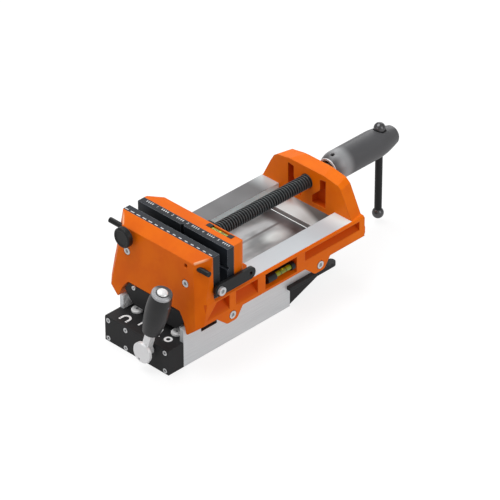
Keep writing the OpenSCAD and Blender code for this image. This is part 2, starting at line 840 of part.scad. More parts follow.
// The moving jaw: a leaning body, a sliding foot with its guide, and the spindle boss.
module moving_jaw() {
    color(orange) difference() {
        union() {
            intersection() {
                translate([0, 0, moving_low]) linear_extrude(jaw_top - moving_low) moving_jaw_plan();
                along_x(-jaw_w, jaw_w)
                    polygon([[moving_seat, moving_low], [moving_seat, jaw_top], [moving_top_y, jaw_top],
                        [moving_back, moving_low]]);
            }
            along_x(-foot_half, foot_half)
                polygon([[moving_seat, moving_low], [foot_end, moving_low], [foot_end, foot_top - 3],
                    [foot_end - 3, foot_top], [moving_seat, foot_top]]);
            box([-guide_half, moving_seat, keeper_top], [guide_half, foot_end, moving_low + 1]);
            rod_y(moving_seat + 1, foot_end, 0, spindle_z, boss_d);
        }
        rod_y(spindle_start - 0.4, foot_end + 1, 0, spindle_z, spindle_d + 2 * run_clear);
        box([recess_left, recess_front, recess_floor], [recess_right, recess_back, jaw_top + 1]);
        both_sides() {
            rod_y(moving_seat - 1, foot_end, jaw_screw_x, jaw_screw_z, jaw_shank_d + 2 * screw_clear);
            rod_y(moving_head_seat, foot_end + 1, jaw_screw_x, jaw_screw_z, jaw_bore_d);
            for (y = keeper_places)
                rod_z(keeper_top - 1, foot_top - 8, keeper_screw_x, y,
                    keeper_screw_d + 2 * seat_clear);
            rod_y(foot_end - 10, foot_end + 1, retainer_screw_x, retainer_screw_z,
                retainer_screw_d + 2 * seat_clear);
        }
    }
}

// Moving jaw plate, with a level and an upright V groove in its face.
module moving_jaw_plate() {
    color(black) difference() {
        box([-jaw_w / 2, moving_face, insert_low], [jaw_w / 2, moving_seat, jaw_top]);
        along_x(-jaw_w, jaw_w)
            polygon([[moving_face - 1, vee_z - vee_depth - 1], [moving_face + vee_depth, vee_z],
                [moving_face - 1, vee_z + vee_depth + 1]]);
        translate([0, 0, insert_low - 1]) linear_extrude(big)
            polygon([[-vee_depth - 1, moving_face - 1], [vee_depth + 1, moving_face - 1],
                [0, moving_face + vee_depth]]);
        both_sides() rod_y(moving_seat - jaw_thread, moving_seat + 1, jaw_screw_x, jaw_screw_z,
            jaw_shank_d + 2 * seat_clear);
    }
}

// Two screws that hold the moving jaw plate, with their heads sunk in the jaw's back.
module moving_jaw_screws() {
    color(chrome) both_sides()
        translate([jaw_screw_x, moving_head_seat + jaw_head_h, jaw_screw_z]) rotate([-90, 0, 0])
            socket_screw(jaw_head_d, jaw_head_h, jaw_shank_d,
                moving_head_seat - moving_seat + jaw_thread - 1);
}

// Black holder of the level on the moving jaw: a tray with a block at each end.
module jaw_level_holder() {
    color(black) {
        box([recess_left, recess_front, recess_floor], [recess_right, recess_back, recess_floor + 1.2]);
        for (x = [recess_left, recess_right - jaw_level_cap])
            box([x, recess_front, recess_floor], [x + jaw_level_cap, recess_back, jaw_top + 0.4]);
    }
}

// Vial of the level on the moving jaw.
module jaw_level_vial() {
    color(green) rod_x(recess_left + jaw_level_cap, recess_right - jaw_level_cap, jaw_level_y,
        jaw_level_z, jaw_vial_d);
}

// Keeper plate that holds the moving jaw down under the rails.
module keeper_plate() {
    color(steel) difference() {
        box([-keeper_half, moving_seat, keeper_low], [keeper_half, foot_end, keeper_top]);
        both_sides()
            for (y = keeper_places) {
                rod_z(0, keeper_top + 1, keeper_screw_x, y, keeper_screw_d + 2 * screw_clear);
                rod_z(0, keeper_low + keeper_head_h + 0.2, keeper_screw_x, y, keeper_bore_d);
            }
    }
}

// Four screws that hold the keeper plate on the guide of the moving jaw.
module keeper_screws() {
    color(chrome) both_sides()
        for (y = keeper_places)
            translate([keeper_screw_x, y, keeper_low + 0.2]) mirror([0, 0, 1])
                socket_screw(keeper_head_d, keeper_head_h, keeper_screw_d, keeper_screw_len);
}

// Slotted plate that sits in the spindle's neck and draws the jaw back.
module spindle_retainer() {
    slot_r = neck_d / 2 + run_clear;
    color(dark_steel) difference() {
        rod_y(foot_end, foot_end + retainer_t, 0, spindle_z, retainer_d);
        rod_y(foot_end - 1, foot_end + retainer_t + 1, 0, spindle_z, 2 * slot_r);
        box([-slot_r, foot_end - 1, 0], [slot_r, foot_end + retainer_t + 1, spindle_z]);
        both_sides() rod_y(foot_end - 1, foot_end + retainer_t + 1, retainer_screw_x,
            retainer_screw_z, retainer_screw_d + 2 * screw_clear);
    }
}

// Two screws that hold the retainer on the boss.
module retainer_screws() {
    color(chrome) both_sides()
        translate([retainer_screw_x, foot_end + retainer_t + retainer_head_h, retainer_screw_z])
            rotate([-90, 0, 0])
                socket_screw(retainer_head_d, retainer_head_h, retainer_screw_d, retainer_t + 8);
}

// Spindle from the jaw's boss into the barrel, with a neck for the retainer.
module spindle() {
    color(black) difference() {
        rod_y(spindle_start, barrel_start + spindle_in_barrel, 0, spindle_z, spindle_d);
        difference() {
            rod_y(foot_end - 0.2, foot_end + retainer_t + 0.2, 0, spindle_z, spindle_d + 2);
            rod_y(foot_end - 1, foot_end + retainer_t + 1, 0, spindle_z, neck_d);
        }
    }
}

// Radius of the barrel at the distance s from its front.
function barrel_radius(s) =
    s < barrel_flare
        ? barrel_front_r + (barrel_r - barrel_front_r) * sin(90 * s / barrel_flare)
        : s < barrel_shoulder
            ? barrel_r
            : barrel_tip_r + (barrel_r - barrel_tip_r)
                * cos(90 * (s - barrel_shoulder) / (barrel_len - barrel_shoulder));

// Outline of the barrel, as radius and distance from its front.
barrel_profile = concat(
    [[0, 0]],
    [for (i = [0:barrel_steps]) let(s = barrel_flare * i / barrel_steps) [barrel_radius(s), s]],
    [
        for (i = [0:tail_steps])
            let(s = barrel_shoulder + (barrel_len - barrel_edge - barrel_shoulder) * i / tail_steps)
            [barrel_radius(s), s]
    ],
    [[barrel_tip_r - 0.3 * barrel_edge, barrel_len - 0.3 * barrel_edge],
        [barrel_tip_r - barrel_edge, barrel_len], [button_d / 2, barrel_len],
        [button_d / 2, barrel_len + button_h - 0.5], [button_d / 2 - 0.5, barrel_len + button_h],
        [0, barrel_len + button_h]]
);

// Turned barrel of the handle, bored for the spindle, the set screw and the T-bar.
module handle_barrel() {
    color(dark_steel) difference() {
        translate([0, barrel_start, spindle_z]) rotate([-90, 0, 0])
            rotate_extrude() polygon(barrel_profile);
        rod_y(barrel_start - 1, barrel_start + spindle_in_barrel + 1, 0, spindle_z,
            spindle_d + 2 * seat_clear);
        rod_y(barrel_start - 1, barrel_start + 4, 0, spindle_z, rim_d);
        rod_z(spindle_z, spindle_z + barrel_d, 0, barrel_start + set_screw_in,
            set_screw_d + 2 * seat_clear);
        translate([0, tbar_y, spindle_z]) rotate_extrude() polygon([[0, -barrel_d],
            [tbar_hole_r, -barrel_d], [tbar_hole_r, tbar_seat - spindle_z],
            [tbar_seat_r, tbar_seat - spindle_z], [tbar_seat_r, barrel_d], [0, barrel_d]]);
    }
}

// Set screw that locks the barrel on the spindle.
module set_screw() {
    color(chrome) difference() {
        rod_z(spindle_z + spindle_d / 2 + seat_clear, spindle_z + barrel_r - 2.5,
            0, barrel_start + set_screw_in, set_screw_d);
        translate([0, barrel_start + set_screw_in, spindle_z + barrel_r - 5])
            cylinder(h = 5, d = 2.8, $fn = 6);
    }
}

// Rod of the T-bar, which slides through the barrel.
module tbar_rod() {
    color(black) difference() {
        rod_z(ball_z - tbar_len, ball_z, 0, tbar_y, tbar_d);
        for (z = [ball_z - tbar_len, ball_z])
            translate([0, tbar_y, z]) sphere(d = ball_d);
    }
}

// Balls at the two ends of the T-bar.
module tbar_balls() {
    color(black)
        for (z = [ball_z - tbar_len, ball_z])
            translate([0, tbar_y, z]) sphere(d = ball_d);
}

// Puts its children on the lever: Z runs out along the grip from the hub's axis.
module on_lever() {
    translate([rotor_x, lever_y, rotor_z]) rotate([0, lever_tilt, 0]) children();
}

// Hub of the lever: a disc and a boss, cut for the spigot and the neck, with a pin hole.
module lever_hub() {
    slot_w = neck_w + 2 * seat_clear;
    slot_t = neck_t + 2 * seat_clear;
    color(chrome) difference() {
        translate([rotor_x, hub_front, rotor_z]) rotate([-90, 0, 0])
            rotate_extrude() polygon([[0, 0], [hub_d / 2 - 1, 0], [hub_d / 2, 1], [hub_d / 2, disc_t],
                [boss_out_d / 2, disc_t], [boss_out_d / 2, hub_back - hub_front],
                [0, hub_back - hub_front]]);
        rod_y(hub_back - spigot_in, 0, rotor_x, rotor_z, spigot_d + 2 * seat_clear);
        on_lever() translate([-slot_w / 2, -slot_t / 2, neck_foot]) cube([slot_w, slot_t, hub_d]);
        rod_y(hub_front - 1, hub_front + pin_hole_depth, rotor_x + pin_hole.x, rotor_z + pin_hole.y,
            pin_hole_d);
    }
}

// Flat neck of the lever, with a round tang inside the grip.
module lever_neck() {
    color(chrome) on_lever() {
        translate([-neck_w / 2, -neck_t / 2, neck_foot]) cube([neck_w, neck_t, grip_start - neck_foot]);
        translate([0, 0, grip_start - eps]) cylinder(h = grip_len - tang_end, d = tang_d);
    }
}

// Outline of the grip, as radius and distance from its foot.
grip_profile = concat(
    [[0, 0], [grip_foot_d / 2 - 1, 0]],
    [
        for (i = [0:grip_steps])
            let(t = max(1, grip_full * i / grip_steps))
            [grip_foot_d / 2 + (grip_d - grip_foot_d) / 2 * sin(90 * t / grip_full), t]
    ],
    [
        for (i = [0:grip_steps])
            let(t = i / grip_steps)
            [grip_top_d / 2 + (grip_d - grip_top_d) / 2 * cos(90 * t),
                grip_taper + (grip_len - grip_taper) * t]
    ],
    [[0, grip_len]]
);

// Barrelled grip of the lever.
module lever_grip() {
    color(black) on_lever() translate([0, 0, grip_start]) difference() {
        rotate_extrude() polygon(grip_profile);
        translate([0, 0, -1]) cylinder(h = grip_len - tang_end + 2, d = tang_d + 2 * seat_clear);
        translate([0, 0, grip_len - cap_inset])
            cylinder(h = cap_inset + 1, d = cap_stub_d + 2 * seat_clear);
    }
}

// Metal ring on the end of the grip, with a dome in it behind a narrow groove.
module grip_cap() {
    top = cap_inset + ring_t;
    r = grip_top_d / 2;
    dome_r = dome_d / 2;
    color(chrome) on_lever() translate([0, 0, grip_end - cap_inset])
        rotate_extrude() polygon([[0, 0], [cap_stub_d / 2, 0], [cap_stub_d / 2, cap_inset],
            [r, cap_inset], [r, top - 0.8], [r - 0.8, top], [ring_bore_r, top],
            [ring_bore_r, top - 1.2], [dome_r, top - 1.2], [dome_r, top + dome_h * 0.3],
            [dome_r * 0.8, top + dome_h * 0.75], [dome_r * 0.45, top + dome_h * 0.95],
            [0, top + dome_h]]);
}

// A magnet rotor on its shaft, at x, with the front end of its shaft at y0.
module rotor(x, y0) {
    rod_y(tongue_end + rotor_gap, rotor_end, x, rotor_z, rotor_d);
    rod_y(y0, rotor_end + journal_len, x, rotor_z, shaft_d);
}

// The right rotor, whose spigot carries the lever.
module rotor_right() {
    color(steel) {
        rotor(rotor_x, shaft_front);
        rod_y(hub_back - spigot_in + 0.2, shaft_front + eps, rotor_x, rotor_z, spigot_d);
    }
}

module rotor_left() {
    color(steel) rotor(-rotor_x, tongue_end - left_shaft_in + 0.4);
}

// Rod of the work stop, which slides through the fixed jaw.
module stop_rod() {
    color(black) rod_x(-rod_left, rod_right, stop_y, stop_z, rod_d);
}

// Round knob that clamps the stop rod, dished in front.
module stop_knob() {
    r = knob_d / 2;
    color(black) difference() {
        translate([-knob_x, knob_back - knob_t, stop_z]) rotate([-90, 0, 0])
            rotate_extrude() polygon([[0, 0.8], [r - 4, 0.8], [r - 3.2, 0], [r - 1.5, 0], [r, 1.5],
                [r, knob_t - 1], [r - 1, knob_t], [0, knob_t]]);
        rod_y(knob_back - 5, knob_back + 1, -knob_x, stop_z, knob_stem_d + 2 * seat_clear);
    }
}

// Threaded stem of the clamp knob, up to the stop rod.
module knob_stem() {
    color(chrome) rod_y(knob_back - 4.8, stop_y - rod_d / 2 - 0.3, -knob_x, stop_z, knob_stem_d);
}

// Flat swinging arm of the work stop, with a hub at its pivot and a hole at its end.
module stop_arm() {
    color(black) difference() {
        union() {
            along_x(arm_x, arm_x + arm_t) {
                translate([arm_y, arm_z - arm_w / 2]) square([arm_len, arm_w]);
                for (y = [arm_y, arm_y + arm_len])
                    translate([y, arm_z]) circle(d = arm_w);
            }
            rod_x(jaw_w / 2 + slide_clear, arm_x + eps, arm_y, arm_z, arm_hub_d);
        }
        rod_x(jaw_w / 2 - 1, arm_x + arm_t + 1, arm_y, arm_z, arm_shank_d + 2 * run_clear);
        rod_x(arm_x - 1, arm_x + arm_t + 1, arm_y + arm_len, arm_z, arm_hole_d);
    }
}

// Pivot screw of the stop arm, in the end of the fixed jaw plate.
module arm_screw() {
    head_start = arm_x + arm_t + slide_clear;
    color(chrome) translate([head_start + arm_head_h, arm_y, arm_z]) rotate([0, 90, 0])
        socket_screw(arm_head_d, arm_head_h, arm_shank_d, head_start - jaw_w / 2 + arm_thread);
}

front_block();
block_screws();
cap_screws();
side_plate_left();
side_plate_right();
magnet_core();
cross_bar();
deck_plate();
rear_wedge();
strap_bars();
shield_plate();
shield_screws();
vise_frame();
ear_screws();
fixed_jaw_plate();
fixed_jaw_screws();
spindle_bush();
side_level_holder();
side_level_vial();
moving_jaw();
moving_jaw_plate();
moving_jaw_screws();
jaw_level_holder();
jaw_level_vial();
keeper_plate();
keeper_screws();
spindle_retainer();
retainer_screws();
spindle();
handle_barrel();
set_screw();
tbar_rod();
tbar_balls();
lever_hub();
lever_neck();
lever_grip();
grip_cap();
rotor_right();
rotor_left();
stop_rod();
stop_knob();
knob_stem();
stop_arm();
arm_screw();
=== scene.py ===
"""Magnetic drill vise: materials, thread, scales, marks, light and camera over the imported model."""

import math

import bmesh
import bpy
from mathutils import Matrix, Vector


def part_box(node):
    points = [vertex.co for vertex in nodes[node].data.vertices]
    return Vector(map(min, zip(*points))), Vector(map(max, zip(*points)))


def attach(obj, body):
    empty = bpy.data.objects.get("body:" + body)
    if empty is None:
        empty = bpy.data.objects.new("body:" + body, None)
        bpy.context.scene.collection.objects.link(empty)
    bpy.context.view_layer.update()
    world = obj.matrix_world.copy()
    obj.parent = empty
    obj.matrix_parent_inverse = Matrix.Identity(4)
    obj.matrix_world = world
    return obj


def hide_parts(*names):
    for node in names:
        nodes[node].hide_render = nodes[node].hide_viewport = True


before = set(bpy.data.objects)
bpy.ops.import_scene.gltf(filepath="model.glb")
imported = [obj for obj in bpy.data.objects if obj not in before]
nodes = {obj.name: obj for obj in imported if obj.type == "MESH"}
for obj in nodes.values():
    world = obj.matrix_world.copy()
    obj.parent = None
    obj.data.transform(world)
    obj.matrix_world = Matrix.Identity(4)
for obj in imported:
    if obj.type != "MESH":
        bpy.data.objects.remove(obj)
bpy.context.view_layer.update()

MM = 0.001


def at(x, y, z):
    """A point given in millimetres."""
    return Vector((x, y, z)) * MM


def add_object(name, data):
    """Puts a mesh, figure, lamp or camera into the scene."""
    made = bpy.data.objects.new(name, data)
    bpy.context.scene.collection.objects.link(made)
    return made


# Camera, from the photograph's own view; places in millimetres, angles in degrees

CAMERA_PLACE = (2715.1, -2541.1, 2606.3)
CAMERA_LOOK = Vector((-0.5883, 0.5917, -0.5512))
CAMERA_ROLL = -0.109
CAMERA_LENS = 276.98
SENSOR_WIDTH = 36.0
NEAREST, FARTHEST = 0.1, 50.0


def make_camera():
    data = bpy.data.cameras.new("camera")
    data.lens = CAMERA_LENS
    data.sensor_width = SENSOR_WIDTH
    data.clip_start = NEAREST
    data.clip_end = FARTHEST
    camera = add_object("camera", data)
    turn = CAMERA_LOOK.to_track_quat("-Z", "Y").to_matrix()
    roll = Matrix.Rotation(math.radians(CAMERA_ROLL), 3, "Z")
    camera.matrix_world = Matrix.Translation(at(*CAMERA_PLACE)) @ (turn @ roll).to_4x4()
    bpy.context.scene.camera = camera


# Shader graphs

# The stretch of a noise that fades from one tone to the other.
FADE = (0.3, 0.7)
# A mix node's factor and colour sockets, and its colour output.
MIX_IN, MIX_OUT = (0, 6, 7), 2
# The vector operations whose result is a value.
MEASURES = ("DOT_PRODUCT", "LENGTH", "DISTANCE")


class Graph:
    """Short forms for the nodes and links of one tree."""

    def __init__(self, tree):
        self.tree = tree

    def add(self, kind, settings=None, **inputs):
        node = self.tree.nodes.new(kind)
        for key, value in (settings or {}).items():
            setattr(node, key, value)
        for key, value in inputs.items():
            self.put(node.inputs[key.replace("_", " ")], value)
        return node

    def put(self, socket, value):
        if isinstance(value, bpy.types.NodeSocket):
            self.tree.links.new(value, socket)
        else:
            socket.default_value = value

    def group(self, tree, **inputs):
        return self.add("ShaderNodeGroup", {"node_tree": tree}, **inputs)

    def math(self, operation, a, b=0.0, c=0.0):
        node = self.add("ShaderNodeMath", {"operation": operation})
        for socket, value in zip(node.inputs, (a, b, c)):
            self.put(socket, value)
        return node.outputs[0]

    def product(self, first, *others):
        for factor in others:
            first = self.math("MULTIPLY", first, factor)
        return first

    def flip(self, mask):
        """One where the mask is zero."""
        return self.math("SUBTRACT", 1.0, mask)

    def reach(self, a, b):
        """How far a point is from an axis, by its two offsets across the axis."""
        return self.math("SQRT", self.math("MULTIPLY_ADD", a, a, self.product(b, b)))

    def mix(self, factor, a, b):
        node = self.add("ShaderNodeMix", {"data_type": "RGBA"})
        for socket, value in zip(MIX_IN, (factor, a, b)):
            self.put(node.inputs[socket], value)
        return node.outputs[MIX_OUT]

    def blend(self, factor, low, high):
        """A value from low to high, by a factor between zero and one."""
        return self.add("ShaderNodeMapRange", Value=factor, To_Min=low, To_Max=high).outputs[0]

    def band(self, value, low, high):
        """Zero below low, one above high, and smooth between."""
        return self.add("ShaderNodeMapRange", {"interpolation_type": "SMOOTHSTEP"},
                        Value=value, From_Min=low, From_Max=high).outputs[0]

    def above(self, value, limit):
        return self.math("GREATER_THAN", value, limit)

    def below(self, value, limit):
        return self.math("LESS_THAN", value, limit)

    def within(self, value, limits):
        """One between the two limits, and zero outside them."""
        return self.product(self.above(value, limits[0]), self.below(value, limits[1]))

    def noise(self, vector, scale, detail=2.0, roughness=0.5):
        node = self.add("ShaderNodeTexNoise", Vector=vector, Scale=scale, Detail=detail,
                        Roughness=roughness)
        return node.outputs[0]

    def bump(self, height, strength, distance, normal):
        return self.add("ShaderNodeBump", Strength=strength, Distance=distance, Height=height,
                        Normal=normal).outputs[0]

    def vector(self, operation, a, b=(0.0, 0.0, 0.0)):
        node = self.add("ShaderNodeVectorMath", {"operation": operation})
        self.put(node.inputs[0], a)
        self.put(node.inputs[1], b)
        return node.outputs["Value" if operation in MEASURES else "Vector"]

    def place(self):
        """Places in the part's own frame, in metres."""
        return self.add("ShaderNodeTexCoord").outputs["Object"]

    def stretched(self, vector, scale):
        return self.add("ShaderNodeMapping", Vector=vector, Scale=scale).outputs[0]

    def parts(self, vector):
        return self.add("ShaderNodeSeparateXYZ", Vector=vector).outputs

    def point(self, x, y, z):
        return self.add("ShaderNodeCombineXYZ", X=x, Y=y, Z=z).outputs[0]


SOCKETS = {"color": "NodeSocketColor", "value": "NodeSocketFloat", "vector": "NodeSocketVector"}


def make_group(name, inputs, outputs, fill):
    """A node group with named inputs, as (name, kind, default), and outputs, as (name, kind)."""
    tree = bpy.data.node_groups.new(name, "ShaderNodeTree")
    for title, kind, default in inputs:
        socket = tree.interface.new_socket(title, in_out="INPUT", socket_type=SOCKETS[kind])
        socket.default_value = default
    for title, kind in outputs:
        tree.interface.new_socket(title, in_out="OUTPUT", socket_type=SOCKETS[kind])
    graph = Graph(tree)
    source = tree.nodes.new("NodeGroupInput")
    sink = tree.nodes.new("NodeGroupOutput")
    results = fill(graph, {title: source.outputs[title] for title, _, _ in inputs})
    for title, value in results.items():
        graph.put(sink.inputs[title], value)
    return tree


def fill_edges(g, given):
    """Finds edges: the rounded normal, and a mask that is one at a convex edge."""
    rounded = g.add("ShaderNodeBevel", {"samples": 4}, Radius=given["Radius"]).outputs[0]
    flat = g.add("ShaderNodeNewGeometry").outputs["Normal"]
    turned = g.flip(g.vector("DOT_PRODUCT", rounded, flat))
    slight, full = 0.01, 0.22
    return {"Normal": rounded, "Mask": g.band(turned, slight, full)}


def fill_paint(g, given):
    """Enamel on a casting: a fine orange peel, cloudy tone and lighter worn edges."""
    place = g.place()
    edge = g.group(EDGES, Radius=given["Edge radius"])
    cloud = g.noise(place, scale=28.0, detail=3.0, roughness=0.6)
    speck = g.band(g.noise(place, scale=900.0), low=0.62, high=0.78)
    speck_depth = 0.12
    tone = g.mix(g.band(cloud, *FADE), given["Shade"], given["Color"])
    tone = g.mix(g.product(speck, speck_depth), tone, given["Shade"])
    worn = g.blend(g.noise(place, scale=160.0), low=0.25, high=0.8)
    wear = g.product(edge.outputs["Mask"], worn)
    tone = g.mix(g.product(wear, given["Edge light"]), tone, given["Edge"])
    peel = g.noise(place, scale=520.0)
    lumps = g.noise(place, scale=110.0)
    peel_share = 0.35
    height = g.math("ADD", g.product(peel, peel_share), lumps)
    normal = g.bump(height, given["Peel"], distance=0.0004, normal=edge.outputs["Normal"])
    rough = g.blend(cloud, given["Gloss low"], given["Gloss high"])
    return {"Color": tone, "Roughness": rough, "Normal": normal}


def fill_metal(g, given):
    """Ground or brushed metal: fine lines along one axis, with patches and lighter edges."""
    place = g.place()
    lines = g.stretched(place, given["Lines"])
    edge = g.group(EDGES, Radius=given["Edge radius"])
    streak = g.noise(lines, scale=1.0, detail=4.0, roughness=0.65)
    patch = g.noise(place, given["Patch scale"])
    edge_share, streak_rough = 0.6, 0.08
    tone = g.mix(g.band(streak, *FADE), given["Shade"], given["Color"])
    patchy = g.product(g.band(patch, low=0.35, high=0.7), given["Patches"])
    tone = g.mix(patchy, tone, given["Patch color"])
    tone = g.mix(g.product(edge.outputs["Mask"], edge_share), tone, given["Edge"])
    rough = g.math("ADD", g.blend(patch, given["Gloss low"], given["Gloss high"]),
                   g.product(streak, streak_rough))
    normal = g.bump(streak, given["Relief"], distance=0.00006, normal=edge.outputs["Normal"])
    return {"Color": tone, "Roughness": rough, "Normal": normal}


def fill_plastic(g, given):
    """Moulded plastic: a fine grain, slight clouds and rounded edges."""
    place = g.place()
    edge = g.group(EDGES, Radius=given["Edge radius"])
    cloud = g.noise(place, scale=45.0)
    grain = g.noise(place, scale=2400.0)
    edge_share = 0.5
    tone = g.mix(g.band(cloud, *FADE), given["Shade"], given["Color"])
    tone = g.mix(g.product(edge.outputs["Mask"], edge_share), tone, given["Edge"])
    normal = g.bump(grain, given["Grain"], distance=0.0001, normal=edge.outputs["Normal"])
    return {"Color": tone, "Roughness": g.blend(cloud, given["Gloss low"], given["Gloss high"]),
            "Normal": normal}


WHITE = (1.0, 1.0, 1.0, 1.0)
GREY = (0.5, 0.5, 0.5, 1.0)
COAT_ROUGHNESS = 0.15
SURFACE_OUT = [("Color", "color"), ("Roughness", "value"), ("Normal", "vector")]
COMMON_IN = [
    ("Color", "color", WHITE), ("Shade", "color", GREY), ("Edge", "color", WHITE),
    ("Edge radius", "value", 0.0008), ("Gloss low", "value", 0.3), ("Gloss high", "value", 0.4)]
EDGES = make_group("edges", [("Radius", "value", 0.0006)],
                   [("Normal", "vector"), ("Mask", "value")], fill_edges)
PAINT = make_group("paint", COMMON_IN + [("Edge light", "value", 0.5), ("Peel", "value", 0.2)],
                   SURFACE_OUT, fill_paint)
METAL = make_group(
    "metal",
    COMMON_IN + [("Lines", "vector", (40.0, 4000.0, 4000.0)), ("Patch scale", "value", 20.0),
                 ("Patches", "value", 0.2), ("Patch color", "color", WHITE),
                 ("Relief", "value", 0.2)],
    SURFACE_OUT, fill_metal)
PLASTIC = make_group("plastic", COMMON_IN + [("Grain", "value", 0.2)], SURFACE_OUT, fill_plastic)


def rgb(r, g, b):
    """A linear colour from the eight-bit values of a screen colour."""
    def linear(v):
        v = v / 255.0
        return v / 12.92 if v <= 0.04045 else ((v + 0.055) / 1.055) ** 2.4
    return (linear(r), linear(g), linear(b), 1.0)


def even(v):
    """A neutral grey."""
    return rgb(v, v, v)


def new_material(name):
    material = bpy.data.materials.new(name)
    material.use_nodes = True
    tree = material.node_tree
    shader = tree.nodes["Principled BSDF"]
    return material, Graph(tree), shader


def finish(name, group, tone=None, metallic=0.0, specular=0.5, coat=0.0, **inputs):
    """A name and its material, whose colour, roughness and normal come from one group.

    A tone is a function that draws the colour by places on the part, as on the thread's crests,
    lighter from wear and painted highlight.
    """
    material, g, shader = new_material(name)
    if tone:
        inputs["Color"] = inputs["Shade"] = tone(g, *g.parts(g.place()))
    node = g.group(group, **inputs)
    g.put(shader.inputs["Base Color"], node.outputs["Color"])
    g.put(shader.inputs["Roughness"], node.outputs["Roughness"])
    g.put(shader.inputs["Normal"], node.outputs["Normal"])
    shader.inputs["Metallic"].default_value = metallic
    shader.inputs["Specular IOR Level"].default_value = specular
    shader.inputs["Coat Weight"].default_value = coat
    shader.inputs["Coat Roughness"].default_value = COAT_ROUGHNESS
    return name, material


# The frame's own finish: enamel, and ground steel where it is machined, with painted light, shade and
# reflections; places in metres

ORANGE = rgb(236, 110, 0)
ORANGE_SHADE = rgb(228, 100, 0)
# The bridge's orange: painted light, lighter than the same enamel elsewhere.
BRIDGE_LIT_ORANGE = rgb(244, 118, 0)
BRIDGE_LIT_ORANGE_CLOUD = rgb(238, 109, 0)
# Painted shade: a deeper orange in the side pockets and the bridge's pits.
POCKET_SHADE = rgb(216, 86, 8)
# Lighter orange: wear on the enamel's edges, and the painted glint on the fixed jaw's corner.
ORANGE_WEAR_AND_GLINT = rgb(255, 184, 140)
RAIL = rgb(202, 207, 211)
# Painted reflections and shade on the ground steel: a darker left rail, a bright sheen, a lighter
# left rear end, walls shaded low, a painted shadow across the tie, and a tie front painted lighter
# against its shade.
LEFT_RAIL_SHADE = rgb(112, 112, 113)
RAIL_SHEEN = rgb(236, 252, 254)
RAIL_END = rgb(212, 220, 222)
CHANNEL_WALL = rgb(146, 153, 154)
TIE_SHADE = rgb(104, 107, 106)
TIE_FRONT = rgb(176, 177, 176)

ENAMEL = dict(Edge=ORANGE_WEAR_AND_GLINT, Edge_radius=0.0014, Gloss_low=0.4, Gloss_high=0.52,
              Edge_light=0.22, Peel=0.18)
ENAMEL_SPECULAR = 0.12
RAIL_METALLIC = 0.22

# Along the vise: where the machined stretch begins and ends, and where the bridge's lighter orange,
# which is painted light, begins.
MACHINED = (0.0541, 0.2868)
BRIDGE_START = (0.27, 0.29)
# Heights: the rail's top face, the step from wall to rail, and the channel's wall and floor.
RAIL_TOP = (0.09262, 0.09275)
RAIL_STEP = (0.09255, 0.09265)
WALL_HEIGHTS = (0.0705, 0.0927)
CHANNEL_FLOOR = 0.0722
# Half widths of the channel, at its walls and at its floor.
WALL_SIDE = 0.04712
FLOOR_SIDE = 0.0471
# Where tones change: along each rail, from rail to rail, up the wall, and on the tie; all are painted
# reflections and shade.
LEFT_RAIL_FADE = (0.256, 0.29)
RIGHT_RAIL_FADE = (0.255, 0.285)
RAIL_TO_RAIL = (-0.03, 0.03)
WALL_FADE = (0.076, 0.084)
FLOOR_STEP = (0.0718, 0.0722)
TIE_SLANT = 0.35
TIE_FADE = (0.284, 0.296)
TIE_STEP = (0.2711, 0.2713)
# The side pockets' backs and the pits in the bridge's front, which take a painted shade.
SCOOP_SIDE = (0.066, 0.0773)
SCOOP_FADE = (0.0672, 0.074)
SCOOP_FRONT, SCOOP_TOP = 0.0384, 0.0912
PIT_Y = (0.2874, 0.298)
PIT_SIDE = (0.0089, 0.0316)
PIT_TOP = 0.1302
# The fixed jaw's corner with a painted glint: its low end, its way up, its width, and its fades at
# both ends.
JAW_CORNER = at(59.0, 37.0, 141.5)
JAW_CORNER_WAY = (at(75.0, 53.4, 150.5) - JAW_CORNER).normalized()
CORNER_WIDTH = (0.0009, 0.0024)
CORNER_RISE = (0.0, 0.002)
CORNER_FALL = (0.01, 0.022)


def worn_corner(g, side, y, z):
    """A mask for a painted highlight along the sharp corner edge between the fixed jaw's ridge and
    its top.
    """
    offset = g.vector("SUBTRACT", g.point(side, y, z), JAW_CORNER)
    away = g.vector("LENGTH", g.vector("CROSS_PRODUCT", offset, JAW_CORNER_WAY))
    along = g.vector("DOT_PRODUCT", offset, JAW_CORNER_WAY)
    return g.product(g.flip(g.band(away, *CORNER_WIDTH)), g.band(along, *CORNER_RISE),
                     g.flip(g.band(along, *CORNER_FALL)))


def pocket_mask(g, side, y, z):
    """Painted shade: a deeper orange in the side pockets and in the bridge's pits."""
    scoop = g.product(g.within(side, SCOOP_SIDE), g.band(z, *SCOOP_FADE),
                      g.above(y, SCOOP_FRONT), g.below(z, SCOOP_TOP))
    pit = g.product(g.within(y, PIT_Y), g.within(side, PIT_SIDE), g.below(z, PIT_TOP))
    return g.math("MAXIMUM", scoop, pit)


def machined_mask(g, side, y, z):
    """The rails' tops, the channel's walls, and its floor with the tie."""
    walls = g.product(g.below(side, WALL_SIDE), g.within(z, WALL_HEIGHTS))
    mask = g.product(g.math("MAXIMUM", g.within(z, RAIL_TOP), walls), g.within(y, MACHINED))
    floor = g.product(g.below(side, FLOOR_SIDE), g.below(z, CHANNEL_FLOOR),
                      g.above(y, MACHINED[0]))
    return g.math("MAXIMUM", mask, floor)


